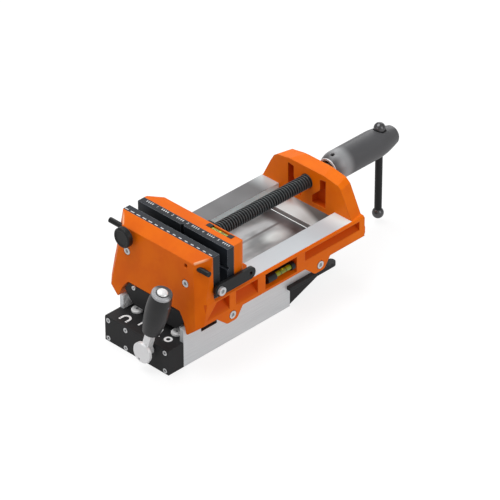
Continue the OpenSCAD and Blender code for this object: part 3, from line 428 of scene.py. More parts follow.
def machined_tone(g, x, y, z):
    """Painted reflections and shade: a darker left rail and a bright right one, lighter rear ends,
    walls dark low and pale high, a painted shadow across the tie and a lighter tie front.
    """
    left = g.mix(g.band(y, *LEFT_RAIL_FADE), LEFT_RAIL_SHADE, RAIL_END)
    right = g.mix(g.band(y, *RIGHT_RAIL_FADE), RAIL, RAIL_SHEEN)
    rail = g.mix(g.band(x, *RAIL_TO_RAIL), left, right)
    wall = g.mix(g.band(z, *WALL_FADE), CHANNEL_WALL, RAIL_SHEEN)
    slanted = g.math("MULTIPLY_ADD", x, TIE_SLANT, y)
    # painted shadow across the tie, and its front face painted lighter against its shade
    tie = g.mix(g.band(slanted, *TIE_FADE), RAIL_SHEEN, TIE_SHADE)
    tie = g.mix(g.band(y, *TIE_STEP), TIE_FRONT, tie)
    wall = g.mix(g.band(z, *FLOOR_STEP), tie, wall)
    return g.mix(g.band(z, *RAIL_STEP), wall, rail)


def frame_material(name):
    """Orange enamel, with ground steel where the masks say that the casting is machined; painted
    light on the bridge, painted shade in the pockets, a painted glint on the fixed jaw's corner and
    painted reflections on the steel.
    """
    material, g, shader = new_material(name)
    shader.inputs["Specular IOR Level"].default_value = ENAMEL_SPECULAR
    x, y, z = g.parts(g.place())
    side = g.math("ABSOLUTE", x)
    # the bridge's lighter orange is painted light
    rear = g.band(y, *BRIDGE_START)
    paint = g.group(PAINT, Color=g.mix(rear, ORANGE, BRIDGE_LIT_ORANGE),
                    Shade=g.mix(rear, ORANGE_SHADE, BRIDGE_LIT_ORANGE_CLOUD), **ENAMEL)
    tone = machined_tone(g, x, y, z)
    metal = g.group(METAL, Color=tone, Shade=tone, Edge=WHITE, Lines=(2600.0, 30.0, 2600.0),
                    Gloss_low=0.34, Gloss_high=0.46, Patch_scale=12.0, Patches=0.12,
                    Patch_color=rgb(235, 236, 238), Relief=0.25)
    mask = machined_mask(g, side, y, z)
    # painted shade in the pockets and pits
    enamel = g.mix(pocket_mask(g, side, y, z), paint.outputs["Color"], POCKET_SHADE)
    # painted highlight along the fixed jaw's corner edge
    enamel = g.mix(worn_corner(g, side, y, z), enamel, ORANGE_WEAR_AND_GLINT)
    g.put(shader.inputs["Base Color"], g.mix(mask, enamel, metal.outputs["Color"]))
    g.put(shader.inputs["Roughness"], g.blend(mask, paint.outputs["Roughness"],
                                              metal.outputs["Roughness"]))
    g.put(shader.inputs["Metallic"], g.product(mask, RAIL_METALLIC))
    g.put(shader.inputs["Normal"], paint.outputs["Normal"])
    return name, material


# Tones drawn by places on the pieces, in metres, with painted light and shade among them

SPINDLE_Z = 116.5
CAP_SCREW_X = 33.8 * MM
CAP_SCREW_Y = 34.0 * MM
DIMPLE_RIM = (0.0013, 0.0019)
LEVER_AXIS = at(24.0, -8.0, 25.4)
LEVER_TILT = math.radians(17.4)
DOME_RIM = (0.0066, 0.0068)
DOME_GROOVE = (0.0077, 0.0079)
RING_FADE = (-0.004, 0.004)
# Spots, as centre and radius: the neck's set screw, the disc's pin hole in painted shade and a bluish
# grey spot on the grip.
NECK_SCREW = (at(32.3, -12.3, 34.3), 0.0010)
DISC_PIN = (at(20.8, -16.0, 16.0), 0.0009)
GRIP_SPOT = (at(63.0, -6.9, 103.1), 0.0016)
SPOT_INSIDE, SPOT_OUTSIDE = 0.75, 1.15
# Along the barrel: its rim with a painted highlight, the groove behind it, the two ends of the bright
# band that is partly brushing and partly painted highlight, and the button.
BARREL_RIM = (0.3243, 0.3245)
BARREL_GROOVE = (0.3252, 0.3254)
BARREL_RISE = (0.325, 0.338)
BARREL_FALL = (0.341, 0.355)
BARREL_BUTTON = (0.44005, 0.4401)
THREAD_CREST = (0.0086, 0.00896)
# The side plates: the front stretch of their inner faces, in painted light, and the walls of their
# windows, in painted shade.
PLATE_LINES = (2200.0, 18.0, 2200.0)
INNER_SIDE, INNER_END = 0.0479, 0.05
WINDOW_SIDE = 0.0536
WINDOW_Y = (0.0535, 0.0805)
WINDOW_Z = (0.0355, 0.0445)
# The deck plate: its cloud, the bright patch of painted reflection, the dark line along it and its
# rear end in painted shade.
DECK_LINES = (60.0, 26.0, 20.0)
DECK_CLOUD = (0.35, 0.65)
PATCH_X, PATCH_Y, PATCH_LONG = 0.003, 0.231, 0.7
PATCH_RAGGED = 0.012
PATCH_RIM = (0.004, 0.016)
SEAM_X = -0.0155
SEAM_WIDTH = (0.0006, 0.003)
DECK_END = (0.246, 0.258)


def spot(g, x, y, z, centre, radius):
    """One inside a ball round a place, and zero outside it."""
    away = g.vector("DISTANCE", g.point(x, y, z), centre)
    return g.flip(g.band(away, radius * SPOT_INSIDE, radius * SPOT_OUTSIDE))


def barrel_tone(g, x, y, z):
    """A painted highlight on the rim, a dark groove, a light band on the flare that is partly
    brushing and partly painted highlight, and black on the end's button.
    """
    # a lighter band on the flare: brushing, and painted highlight
    bright = g.product(g.band(y, *BARREL_RISE), g.flip(g.band(y, *BARREL_FALL)))
    tone = g.mix(bright, rgb(86, 86, 88), rgb(158, 159, 161))
    tone = g.mix(g.band(y, *BARREL_GROOVE), rgb(66, 66, 67), tone)
    # painted highlight on the rim
    tone = g.mix(g.band(y, *BARREL_RIM), rgb(214, 214, 216), tone)
    return g.mix(g.band(y, *BARREL_BUTTON), tone, rgb(22, 22, 23))


def cap_screw_tone(g, x, y, z):
    """White caps with a small grey dimple in the middle, whose grey is painted shade."""
    radius = g.reach(g.math("SUBTRACT", g.math("ABSOLUTE", x), CAP_SCREW_X),
                     g.math("SUBTRACT", y, CAP_SCREW_Y))
    # the grey of the dimple is painted shade
    return g.mix(g.band(radius, *DIMPLE_RIM), rgb(120, 121, 124), even(250))


def hub_tone(g, x, y, z):
    """Satin chrome, with a dark set screw in the neck's foot and a pin hole in the disc drawn as
    painted shade.
    """
    # the pin hole's dark is painted shade
    dark = g.math("MAXIMUM", spot(g, x, y, z, *NECK_SCREW), spot(g, x, y, z, *DISC_PIN))
    return g.mix(dark, rgb(242, 242, 243), rgb(84, 80, 78))


def grip_tone(g, x, y, z):
    """Black plastic, with a small bluish grey spot on its right side."""
    return g.mix(spot(g, x, y, z, *GRIP_SPOT), rgb(39, 39, 40), rgb(86, 90, 108))


def grip_cap_tone(g, x, y, z):
    """A white dome in a groove darkened with painted shade, with a grey ring round it, painted
    lighter toward the front and darker toward the back as shading.
    """
    side = g.math("SUBTRACT", x, LEVER_AXIS[0])
    back = g.math("SUBTRACT", y, LEVER_AXIS[1])
    rise = g.math("SUBTRACT", z, LEVER_AXIS[2])
    across = g.math("SUBTRACT", g.product(side, math.cos(LEVER_TILT)),
                    g.product(rise, math.sin(LEVER_TILT)))
    radius = g.reach(across, back)
    # painted shading: the ring lighter toward the front and darker toward the back
    ring = g.mix(g.band(back, *RING_FADE), rgb(176, 177, 180), rgb(66, 67, 69))
    # painted shade in the groove
    tone = g.mix(g.band(radius, *DOME_GROOVE), rgb(26, 26, 27), ring)
    return g.mix(g.band(radius, *DOME_RIM), even(252), tone)


def thread_tone(g, x, y, z):
    """Black oxide, lighter on the crests of the thread, from wear and painted highlight."""
    radius = g.reach(x, g.math("SUBTRACT", z, SPINDLE_Z * MM))
    # lighter crests: wear, and painted highlight
    return g.mix(g.band(radius, *THREAD_CREST), rgb(24, 28, 31), rgb(84, 90, 92))


def plate_tone(g, x, y, z):
    """Brushed lengthwise, with painted shade on the walls in the window and painted light on the
    inner face in front.
    """
    lines = g.stretched(g.point(x, y, z), PLATE_LINES)
    streak = g.band(g.noise(lines, scale=1.0, detail=4.0, roughness=0.65), *FADE)
    tone = g.mix(streak, rgb(216, 219, 222), rgb(232, 235, 237))
    side = g.math("ABSOLUTE", x)
    # painted light on the front of the inner face
    tone = g.mix(g.product(g.below(side, INNER_SIDE), g.below(y, INNER_END)), tone, WHITE)
    # painted shade on the walls in the window
    window = g.product(g.below(side, WINDOW_SIDE), g.within(z, WINDOW_Z), g.within(y, WINDOW_Y))
    return g.mix(window, tone, even(20))


def deck_tone(g, x, y, z):
    """Polished steel: a painted bright reflection patch, a fine dark line along the middle and a
    painted shade on the rear end.
    """
    cloud = g.noise(g.stretched(g.point(x, y, z), DECK_LINES), scale=1.0, roughness=0.45)
    tone = g.mix(g.band(cloud, *DECK_CLOUD), rgb(142, 146, 147), rgb(194, 200, 202))
    away = g.reach(g.math("SUBTRACT", x, PATCH_X),
                   g.product(g.math("SUBTRACT", y, PATCH_Y), PATCH_LONG))
    away = g.math("MULTIPLY_ADD", g.math("SUBTRACT", cloud, 0.5), PATCH_RAGGED, away)
    # painted reflection: the bright patch
    tone = g.mix(g.band(away, *PATCH_RIM), rgb(244, 255, 255), tone)
    seam = g.math("ABSOLUTE", g.math("SUBTRACT", x, SEAM_X))
    tone = g.mix(g.band(seam, *SEAM_WIDTH), rgb(112, 111, 112), tone)
    # painted shade on the rear end
    return g.mix(g.band(y, *DECK_END), tone, rgb(88, 86, 87))


# The finishes of the pieces

ROUND_LINES = (900.0, 900.0, 900.0)
PRINT = dict(Gloss_low=0.45, Gloss_high=0.55, Grain=0.15, Edge_radius=0.00005)
SMALL_CAP = dict(Edge=WHITE, Lines=ROUND_LINES, Gloss_low=0.2, Gloss_high=0.3,
                 Edge_radius=0.0004, Patch_scale=60.0, Patches=0.1, Relief=0.06)


def make_materials():
    """All finishes by their names; the materials' own names may get a number from Blender."""
    made = [
        frame_material("frame_orange"),
        finish("jaw_orange", PAINT, specular=ENAMEL_SPECULAR, Color=ORANGE, Shade=ORANGE_SHADE,
               **ENAMEL),
        finish("block_black", PAINT, specular=0.25, Color=rgb(41, 41, 42), Shade=rgb(36, 36, 37),
               Edge=rgb(100, 100, 102), Edge_radius=0.0006, Gloss_low=0.48, Gloss_high=0.6,
               Edge_light=0.35, Peel=0.14),
        finish("brushed_plate", METAL, plate_tone, metallic=0.4, Edge=WHITE, Lines=PLATE_LINES,
               Gloss_low=0.34, Gloss_high=0.44, Patch_scale=9.0, Patches=0.15,
               Patch_color=rgb(247, 249, 250), Relief=0.3),
        finish("polished_deck", METAL, deck_tone, metallic=0.12, Edge=rgb(150, 150, 151),
               Lines=(900.0, 12.0, 900.0), Gloss_low=0.3, Gloss_high=0.45, Patch_scale=24.0,
               Patches=0.2, Patch_color=rgb(250, 250, 252), Relief=0.12),
        finish("zinc", METAL, metallic=0.7, Color=rgb(228, 229, 230), Shade=rgb(208, 209, 211),
               Edge=WHITE, Lines=(700.0, 700.0, 700.0), Gloss_low=0.2, Gloss_high=0.32,
               Edge_radius=0.0004, Patch_scale=120.0, Patches=0.3,
               Patch_color=rgb(242, 242, 243), Relief=0.1),
        finish("hub_chrome", METAL, hub_tone, metallic=0.3, Edge=WHITE,
               Lines=(1500.0, 60.0, 1500.0), Gloss_low=0.26, Gloss_high=0.36,
               Edge_radius=0.0006, Patch_scale=40.0, Patches=0.3,
               Patch_color=rgb(250, 250, 251), Relief=0.2),
        finish("dark_steel", METAL, metallic=0.9, Color=rgb(92, 93, 96), Shade=rgb(72, 73, 76),
               Edge=rgb(150, 150, 152), Lines=(1200.0, 40.0, 1200.0), Gloss_low=0.36,
               Gloss_high=0.5, Patch_scale=30.0, Patches=0.3, Patch_color=rgb(110, 111, 114),
               Relief=0.25),
        finish("black_oxide", METAL, metallic=0.2, specular=0.3, Color=rgb(34, 35, 36),
               Shade=rgb(29, 30, 31), Edge=rgb(96, 97, 99), Lines=(1400.0, 60.0, 1400.0),
               Gloss_low=0.3, Gloss_high=0.42, Edge_radius=0.0006, Patch_scale=35.0,
               Patches=0.35, Patch_color=rgb(42, 43, 45), Relief=0.15),
        finish("ball_oxide", METAL, metallic=0.7, specular=0.8, Color=rgb(98, 98, 100),
               Shade=rgb(86, 86, 88), Edge=rgb(110, 110, 112), Lines=ROUND_LINES,
               Gloss_low=0.16, Gloss_high=0.24, Edge_radius=0.0004, Patch_scale=35.0,
               Patches=0.2, Patch_color=rgb(82, 82, 84), Relief=0.08),
        finish("thread_oxide", METAL, thread_tone, metallic=0.3, Edge=rgb(150, 149, 144),
               Lines=ROUND_LINES, Gloss_low=0.28, Gloss_high=0.4, Edge_radius=0.0003,
               Patch_scale=60.0, Patches=0.1, Patch_color=even(80), Relief=0.1),
        finish("cap_white", METAL, cap_screw_tone, Patch_color=rgb(236, 236, 238), **SMALL_CAP),
        finish("grip_end", METAL, grip_cap_tone, metallic=0.35, Patch_color=rgb(200, 200, 202),
               **SMALL_CAP),
        finish("bare_steel", METAL, metallic=0.8, Color=rgb(206, 200, 188),
               Shade=rgb(184, 178, 166), Edge=WHITE, Lines=(700.0, 2400.0, 700.0),
               Gloss_low=0.28, Gloss_high=0.38, Patch_scale=50.0, Patches=0.3,
               Patch_color=rgb(220, 214, 202), Relief=0.2),
        finish("jaw_plate", METAL, metallic=0.15, specular=0.3, Color=rgb(41, 44, 48),
               Shade=rgb(33, 35, 39), Edge=rgb(178, 184, 194), Lines=(30.0, 2400.0, 2400.0),
               Gloss_low=0.36, Gloss_high=0.5, Edge_radius=0.0008, Patch_scale=30.0,
               Patches=0.5, Patch_color=rgb(48, 54, 63), Relief=0.3),
        finish("barrel_grey", METAL, barrel_tone, metallic=0.25, Edge=rgb(150, 151, 153),
               Lines=(900.0, 2600.0, 900.0), Gloss_low=0.34, Gloss_high=0.44,
               Edge_radius=0.0008, Patch_scale=18.0, Patches=0.15,
               Patch_color=rgb(112, 113, 115), Relief=0.25),
        finish("grip_black", PLASTIC, grip_tone, specular=0.4, Edge=rgb(88, 88, 90),
               Gloss_low=0.32, Gloss_high=0.4, Grain=0.2),
        finish("plastic_black", PLASTIC, specular=0.35, Color=rgb(25, 26, 27),
               Shade=rgb(20, 21, 22), Edge=rgb(80, 82, 85), Gloss_low=0.34, Gloss_high=0.44,
               Grain=0.3, Edge_radius=0.0005),
        finish("bronze", METAL, metallic=0.7, Color=rgb(158, 150, 132), Shade=rgb(132, 124, 108),
               Edge=rgb(206, 196, 172), Lines=(1800.0, 1800.0, 1800.0), Gloss_low=0.26,
               Gloss_high=0.36, Patch_scale=60.0, Patches=0.3, Patch_color=rgb(172, 162, 140),
               Relief=0.2),
        finish("mark_white", PLASTIC, Color=even(254), Shade=even(246), Edge=WHITE, **PRINT),
        finish("scale_white", PLASTIC, Color=rgb(224, 224, 226), Shade=rgb(208, 208, 210),
               Edge=WHITE, **PRINT),
        finish("mark_black", PLASTIC, Color=rgb(24, 25, 26), Shade=rgb(18, 19, 20),
               Edge=rgb(30, 31, 32), **PRINT),
        finish("liquid", PLASTIC, coat=0.5, Color=rgb(150, 158, 0), Shade=rgb(98, 110, 0),
               Edge=rgb(196, 214, 60), Gloss_low=0.12, Gloss_high=0.2, Grain=0.02,
               Edge_radius=0.0003),
        finish("bubble", PLASTIC, coat=0.5, Color=rgb(226, 242, 50), Shade=rgb(204, 224, 30),
               Edge=WHITE, Gloss_low=0.08, Gloss_high=0.12, Grain=0.0, Edge_radius=0.0003)]
    return dict(made)


NODE_MATERIAL = {
    "front_block": "block_black", "block_screws": "zinc", "cap_screws": "cap_white",
    "side_plate_left": "brushed_plate", "side_plate_right": "brushed_plate",
    "magnet_core": "dark_steel", "cross_bar": "zinc", "deck_plate": "polished_deck",
    "rear_wedge": "block_black", "strap_bars": "black_oxide", "shield_plate": "block_black",
    "shield_screws": "zinc", "vise_frame": "frame_orange", "ear_screws": "zinc",
    "fixed_jaw_plate": "jaw_plate", "fixed_jaw_screws": "zinc", "spindle_bush": "bronze",
    "side_level_holder": "plastic_black", "side_level_vial": "liquid",
    "moving_jaw": "jaw_orange", "moving_jaw_plate": "jaw_plate", "moving_jaw_screws": "zinc",
    "jaw_level_holder": "plastic_black", "jaw_level_vial": "liquid", "keeper_plate": "dark_steel",
    "keeper_screws": "zinc", "spindle_retainer": "black_oxide", "retainer_screws": "zinc",
    "spindle": "black_oxide", "handle_barrel": "barrel_grey", "set_screw": "black_oxide",
    "tbar_rod": "black_oxide", "tbar_balls": "ball_oxide", "lever_hub": "hub_chrome",
    "lever_neck": "hub_chrome", "lever_grip": "grip_black", "grip_cap": "grip_end",
    "rotor_right": "dark_steel", "rotor_left": "dark_steel", "stop_rod": "black_oxide",
    "stop_knob": "plastic_black", "knob_stem": "zinc", "stop_arm": "black_oxide",
    "arm_screw": "zinc"}


def dress_nodes(materials):
    for name, key in NODE_MATERIAL.items():
        slots = nodes[name].data.materials
        slots.clear()
        slots.append(materials[key])


# Shapes; all measures from here on are in millimetres


def add_piece(name, bm, body, material, smooth=None):
    """Makes an object from a bmesh, gives it its finish and lets it ride on a body."""
    mesh = bpy.data.meshes.new(name)
    bmesh.ops.recalc_face_normals(bm, faces=bm.faces[:])
    bm.to_mesh(mesh)
    bm.free()
    if smooth is not None:
        mesh.shade_smooth()
        mesh.set_sharp_from_angle(angle=math.radians(smooth))
    piece = add_object(name, mesh)
    mesh.materials.append(material)
    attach(piece, body)
    return piece


def lathe(bm, profile, centre, steps, closed=True):
    """Turns a profile of [radius, y] points round the line along Y through centre, as [x, z]."""
    rings = []
    for radius, y in profile:
        ring = []
        for i in range(steps):
            a = 2 * math.pi * i / steps
            ring.append(bm.verts.new(at(centre[0] + radius * math.sin(a), y,
                                        centre[1] + radius * math.cos(a))))
        rings.append(ring)
    for a, b in zip(rings, rings[1:]):
        for i in range(steps):
            j = (i + 1) % steps
            bm.faces.new((a[i], a[j], b[j], b[i]))
    if closed:
        bm.faces.new(rings[0])
        bm.faces.new(rings[-1][::-1])


def slab(bm, outline, z0, z1):
    """A flat shape with an outline of [x, y] points, between two heights."""
    low = [bm.verts.new(at(x, y, z0)) for x, y in outline]
    high = [bm.verts.new(at(x, y, z1)) for x, y in outline]
    bm.faces.new(low[::-1])
    bm.faces.new(high)
    for i in range(len(outline)):
        j = (i + 1) % len(outline)
        bm.faces.new((low[i], low[j], high[j], high[i]))


def bar_outline(x0, y0, x1, y1):
    return [(x0, y0), (x1, y0), (x1, y1), (x0, y1)]


def arc(cx, cy, r, a0, a1, steps=16):
    return [(cx + r * math.cos(math.radians(a0 + (a1 - a0) * i / steps)),
             cy + r * math.sin(math.radians(a0 + (a1 - a0) * i / steps)))
            for i in range(steps + 1)]


def circle(cx, cy, r, steps):
    return arc(cx, cy, r, 0, 360, steps)[:-1]


def stroke_outline(path, width):
    """Outline of a line of a given width along a path of [x, y] points, with square ends."""
    left, right = [], []
    for i, (x, y) in enumerate(path):
        ax, ay = path[max(i - 1, 0)]
        bx, by = path[min(i + 1, len(path) - 1)]
        length = math.hypot(bx - ax, by - ay)
        nx, ny = -(by - ay) / length * width / 2, (bx - ax) / length * width / 2
        left.append((x + nx, y + ny))
        right.append((x - nx, y - ny))
    return left + right[::-1]


# Spindle

THREAD_PITCH = 4.0
THREAD_START, THREAD_END = 129.6, 313.5
CREST_R, ROOT_R = 8.99, 7.1
CREST_ROUNDING = 0.25
ROOT_SINK = 0.02
RUN_OUT_TURNS = 0.3
THREAD_STEPS = 40
TURNED_STEPS, TURNED_SMOOTH = 56, 35
# The front end's chamfer, the retainer's groove and its walls, the run-out in front of the
# thread, and the core's rear end.
TIP_R, TIP = 8.0, 1.0
GROOVE_R, GROOVE, GROOVE_WALL = 6.5, (121.6, 127.0), 0.02
RUN_OUT_R, RUN_OUT = 7.9, (128.6, 129.2)
CORE_END = [(ROOT_R, 310.0), (ROOT_R, 311.0), (7.2, 311.2)]
PLAIN_END = [(7.0, 311.1), (7.6, 311.6), (7.6, 322.0), (8.2, 322.4), (8.2, 330.0)]


def screw_thread(bm, y0, y1, crest, root):
    """A right-hand thread along Y: a ribbon of flanks and crest that winds round the axis."""
    shoulder = crest - CREST_ROUNDING
    # Shares of the pitch, and radii.
    profile = [(0.0, root), (0.16, shoulder), (0.22, crest), (0.42, crest), (0.48, shoulder),
               (0.64, root)]
    count = int((y1 - y0 - THREAD_PITCH) / THREAD_PITCH * THREAD_STEPS)
    fade = THREAD_STEPS * RUN_OUT_TURNS
    rows = []
    for k in range(count + 1):
        a = 2 * math.pi * k / THREAD_STEPS
        ends = min(1.0, k / fade, (count - k) / fade)
        row = []
        for along, radius in profile:
            r = root + (radius - root) * ends
            y = y0 + THREAD_PITCH * (k / THREAD_STEPS + along)
            row.append(bm.verts.new(at(r * math.sin(a), y, SPINDLE_Z + r * math.cos(a))))
        rows.append(row)
    for a, b in zip(rows, rows[1:]):
        for i in range(len(profile) - 1):
            bm.faces.new((a[i], a[i + 1], b[i + 1], b[i]))


def make_spindle(materials):
    """Threaded spindle with its groove, run-out and plain end toward the barrel."""
    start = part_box("spindle")[0].y / MM
    axis = (0.0, SPINDLE_Z)
    bm = bmesh.new()
    lathe(bm, [(TIP_R, start), (CREST_R, start + TIP),
               (CREST_R, GROOVE[0]), (GROOVE_R, GROOVE[0] + GROOVE_WALL),
               (GROOVE_R, GROOVE[1] - GROOVE_WALL), (CREST_R, GROOVE[1]),
               (CREST_R, RUN_OUT[0]), (RUN_OUT_R, RUN_OUT[1]),
               (ROOT_R, THREAD_START), *CORE_END], axis, TURNED_STEPS)
    screw_thread(bm, THREAD_START, THREAD_END, CREST_R, ROOT_R - ROOT_SINK)
    threaded = add_piece("spindle_thread", bm, "spindle",
                         materials["thread_oxide"], TURNED_SMOOTH)
    bm = bmesh.new()
    lathe(bm, PLAIN_END, axis, TURNED_STEPS)
    add_piece("spindle_plain_end", bm, "spindle", materials["bare_steel"],
              TURNED_SMOOTH)
    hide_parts("spindle")


# Scales and marks

MARK_SINK, MARK_RISE = 0.1, 0.05
FIGURE_THICKNESS = 0.06
# Centimetre dashes: first place, spacing, how many, how many are long, widths and depth.
CM_FIRST, CM, CM_DASHES, LONG_DASHES = -71.5, 10, 15, 5
LONG_DASH, SHORT_DASH = 6.0, 4.6
DASH_Y = (1.7, 3.1)
# Inch ticks: first place, spacings, how many, half width and depth; and the figures.
INCH_FIRST, INCH, TICK = -66.0, 25.4, 3.2
INCHES, TICKS = 6, 4
TICK_HALF = 0.65
TICK_Y = (5.6, 8.6)
FIGURE_X, FIGURE_Y, FIGURE_SIZE = -7.9, 6.9, 5.4


def mark(bm, outline, top):
    """A printed shape on a face at the height top, sunk a little into it."""
    slab(bm, outline, top - MARK_SINK, top + MARK_RISE)


def add_figure(name, text, place, body, material):
    """A generic figure as a thin raised mesh, read from the front."""
    curve = bpy.data.curves.new(name, "FONT")
    curve.body = text
    curve.size = FIGURE_SIZE * MM
    curve.align_x = "CENTER"
    curve.align_y = "CENTER"
    curve.extrude = FIGURE_THICKNESS * MM / 2
    curve.resolution_u = 3
    helper = add_object(name + "_curve", curve)
    bpy.context.view_layer.update()
    mesh = bpy.data.meshes.new_from_object(helper.evaluated_get(
        bpy.context.evaluated_depsgraph_get()))
    bpy.data.objects.remove(helper)
    mesh.transform(Matrix.Translation(at(*place)))
    mesh.materials.clear()
    mesh.materials.append(material)
    piece = add_object(name, mesh)
    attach(piece, body)


def make_scales(materials):
    """A centimetre scale on the fixed plate and an inch scale on the moving plate."""
    white = materials["scale_white"]
    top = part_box("fixed_jaw_plate")[1].z / MM
    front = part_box("fixed_jaw_plate")[0].y / MM
    bm = bmesh.new()
    for i in range(CM_DASHES):
        x = CM_FIRST + CM * i
        half = (LONG_DASH if i < LONG_DASHES else SHORT_DASH) / 2
        mark(bm, bar_outline(x - half, front + DASH_Y[0], x + half, front + DASH_Y[1]), top)
    add_piece("centimetre_scale", bm, "base", white)
    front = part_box("moving_jaw_plate")[0].y / MM
    bm = bmesh.new()
    for inch in range(INCHES):
        for tick in range(TICKS):
            x = INCH_FIRST + INCH * inch + TICK * tick
            mark(bm, bar_outline(x - TICK_HALF, front + TICK_Y[0], x + TICK_HALF,
                                 front + TICK_Y[1]), top)
    add_piece("inch_scale", bm, "moving_jaw", white)
    for number in range(1, INCHES):
        x = INCH_FIRST + INCH * number + FIGURE_X
        add_figure(f"inch_figure_{number}", str(number), (x, front + FIGURE_Y, top),
                   "moving_jaw", white)


# On the block: the horseshoe's bow, legs and tips, two strokes, a dot and a ring.
SHOE_X, SHOE_Y, SHOE_R, SHOE_WIDTH = -31.2, 13.0, 5.4, 2.9
LEG_END = 9.6
TIP_Y = (7.0, 8.9)
STROKE, STROKE_WIDTH = [(-10.9, 13.5), (-10.9, 22.0)], 2.4
SLANT, SLANT_WIDTH = [(21.0, 18.0), (16.5, 28.0)], 1.0
DOT, DOT_R, DOT_STEPS = (23.0, 14.8), 0.9, 12
RING, RING_OUT_R, RING_IN_R, RING_STEPS = (35.4, 17.9), 5.4, 2.6, 32


def flat_ring(bm, outer, inner, z0, z1):
    """A flat ring between two outlines of the same number of points."""
    (out_low, out_high), (in_low, in_high) = [
        [[bm.verts.new(at(x, y, z)) for x, y in outline] for z in (z0, z1)]
        for outline in (outer, inner)]
    n = len(outer)
    for i in range(n):
        j = (i + 1) % n
        bm.faces.new((out_high[i], out_high[j], in_high[j], in_high[i]))
        bm.faces.new((out_low[i], out_low[j], out_high[j], out_high[i]))
        bm.faces.new((in_low[j], in_low[i], in_high[i], in_high[j]))


def make_block_marks(materials):
    """Horseshoe, strokes, dot and ring on top of the front block."""
    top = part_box("front_block")[1].z / MM
    left, right = SHOE_X - SHOE_R, SHOE_X + SHOE_R
    bm = bmesh.new()
    bow = arc(SHOE_X, SHOE_Y, SHOE_R, 180, 0)[1:-1]
    path = [(left, LEG_END), (left, SHOE_Y)] + bow + [(right, SHOE_Y), (right, LEG_END)]
    mark(bm, stroke_outline(path, SHOE_WIDTH), top)
    half = SHOE_WIDTH / 2
    for x in (left, right):
        mark(bm, bar_outline(x - half, TIP_Y[0], x + half, TIP_Y[1]), top)
    mark(bm, stroke_outline(STROKE, STROKE_WIDTH), top)
    mark(bm, stroke_outline(SLANT, SLANT_WIDTH), top)
    mark(bm, circle(*DOT, DOT_R, DOT_STEPS), top)
    flat_ring(bm, circle(*RING, RING_OUT_R, RING_STEPS), circle(*RING, RING_IN_R, RING_STEPS),
              top - MARK_SINK, top + MARK_RISE)
    add_piece("switch_marks", bm, "base", materials["mark_white"])


# Levels

# The lines round the vial: how far in from its ends, their half widths and how far they rise.
LINE_INSET = 8.6
LINE_FOOT, LINE_TOP, LINE_RISE = 0.4, 0.35, 0.06
LINE_STEPS, LINE_SMOOTH = 32, 30
# The bubble's half length, and its half width, half height and lift in vial radii.
BUBBLE_LONG = 3.2
BUBBLE_WIDE, BUBBLE_TALL, BUBBLE_LIFT = 0.68, 0.62, 0.45
BUBBLE_SEGMENTS, BUBBLE_RINGS, BUBBLE_SMOOTH = 24, 12, 80


def make_bubble(name, centre, radii, body, material):
    """An oval bubble that stands a little out of the vial's top."""
    bm = bmesh.new()
    bmesh.ops.create_uvsphere(bm, u_segments=BUBBLE_SEGMENTS, v_segments=BUBBLE_RINGS,
                              radius=1.0)
    for vert in bm.verts:
        vert.co = at(*(c + r * v for c, r, v in zip(centre, radii, vert.co)))
    add_piece(name, bm, body, material, BUBBLE_SMOOTH)


def make_vials(materials):
    """Black rings on the side level, and a bubble on each level."""
    low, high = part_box("side_level_vial")
    x, y, z = ((a + b) / 2 / MM for a, b in zip(low, high))
    r = (high.x - low.x) / 2 / MM
    bm = bmesh.new()
    for line in (low.y / MM + LINE_INSET, high.y / MM - LINE_INSET):
        crest = r + LINE_RISE
        lathe(bm, [(r, line - LINE_FOOT), (crest, line - LINE_TOP), (crest, line + LINE_TOP),
                   (r, line + LINE_FOOT)], (x, z), LINE_STEPS, closed=False)
    add_piece("side_level_rings", bm, "base", materials["mark_black"],
              LINE_SMOOTH)
    make_bubble("side_level_bubble", (x, y, z + BUBBLE_LIFT * r),
                (BUBBLE_WIDE * r, BUBBLE_LONG, BUBBLE_TALL * r), "base", materials["bubble"])
    low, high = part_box("jaw_level_vial")
    x, y, z = ((a + b) / 2 / MM for a, b in zip(low, high))
    r = (high.y - low.y) / 2 / MM
    make_bubble("jaw_level_bubble", (x, y, z + BUBBLE_LIFT * r),
                (BUBBLE_LONG, BUBBLE_WIDE * r, BUBBLE_TALL * r), "moving_jaw",
                materials["bubble"])


# Floor and light; the lamps' sizes are in metres and their powers in watts

FLOOR_HALF = 9000.0
FLOOR_BOTTOM, FLOOR_TOP = -1.0, -0.02
# The floor glows white for the camera, and less for the part that it lights from below.
FLOOR_GLOW, FLOOR_GLOW_SEEN = 0.42, 0.8
SKY_STRENGTH = 0.4
LIT_MIDDLE = (0.0, 200.0, 80.0)
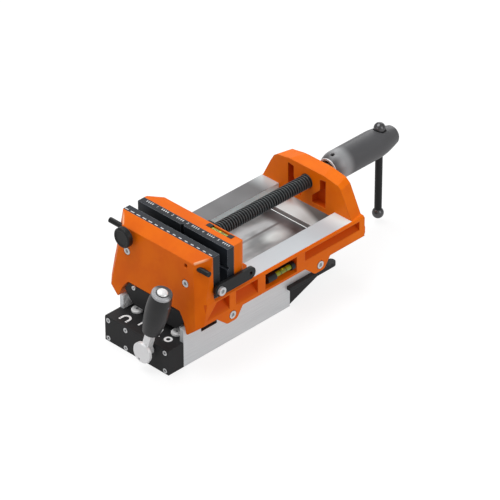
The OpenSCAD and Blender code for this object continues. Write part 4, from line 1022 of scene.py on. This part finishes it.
# Each lamp's place, size and power.
LAMPS = {
    "key": ((-500.0, 0.0, 1900.0), (1.6, 1.2), 24.0),
    "side": ((1700.0, 600.0, 900.0), (1.0, 1.4), 8.0),
    "front": ((-300.0, -1800.0, 900.0), (1.4, 0.9), 3.5),
    "back": ((-900.0, 1700.0, 700.0), (1.2, 0.8), 6.0)}


def make_floor():
    bm = bmesh.new()
    slab(bm, bar_outline(-FLOOR_HALF, -FLOOR_HALF, FLOOR_HALF, FLOOR_HALF), FLOOR_BOTTOM,
         FLOOR_TOP)
    mesh = bpy.data.meshes.new("floor")
    bm.to_mesh(mesh)
    bm.free()
    floor = add_object("floor", mesh)
    material, g, shader = new_material("floor")
    tone = g.mix(g.noise(g.place(), scale=3.0), even(142), rgb(137, 137, 138))
    g.put(shader.inputs["Base Color"], tone)
    shader.inputs["Roughness"].default_value = 0.7
    shader.inputs["Specular IOR Level"].default_value = 0.1
    shader.inputs["Emission Color"].default_value = WHITE
    seen = g.add("ShaderNodeLightPath").outputs["Is Camera Ray"]
    g.put(shader.inputs["Emission Strength"], g.blend(seen, FLOOR_GLOW, FLOOR_GLOW_SEEN))
    mesh.materials.append(material)


def make_lamp(name, place, size, power):
    """A flat lamp that points at the middle of the part."""
    data = bpy.data.lights.new(name, "AREA")
    data.shape = "RECTANGLE"
    data.size, data.size_y = size
    data.energy = power
    lamp = add_object(name, data)
    aim = (at(*LIT_MIDDLE) - at(*place)).to_track_quat("-Z", "Y")
    lamp.matrix_world = Matrix.Translation(at(*place)) @ aim.to_matrix().to_4x4()


def make_light():
    world = bpy.data.worlds.new("world")
    world.use_nodes = True
    background = world.node_tree.nodes["Background"]
    background.inputs["Color"].default_value = WHITE
    background.inputs["Strength"].default_value = SKY_STRENGTH
    bpy.context.scene.world = world
    bpy.context.scene.view_settings.view_transform = "Standard"
    for name, (place, size, power) in LAMPS.items():
        make_lamp(name, place, size, power)


make_camera()
materials = make_materials()
dress_nodes(materials)
make_spindle(materials)
make_scales(materials)
make_block_marks(materials)
make_vials(materials)
make_floor()
make_light()
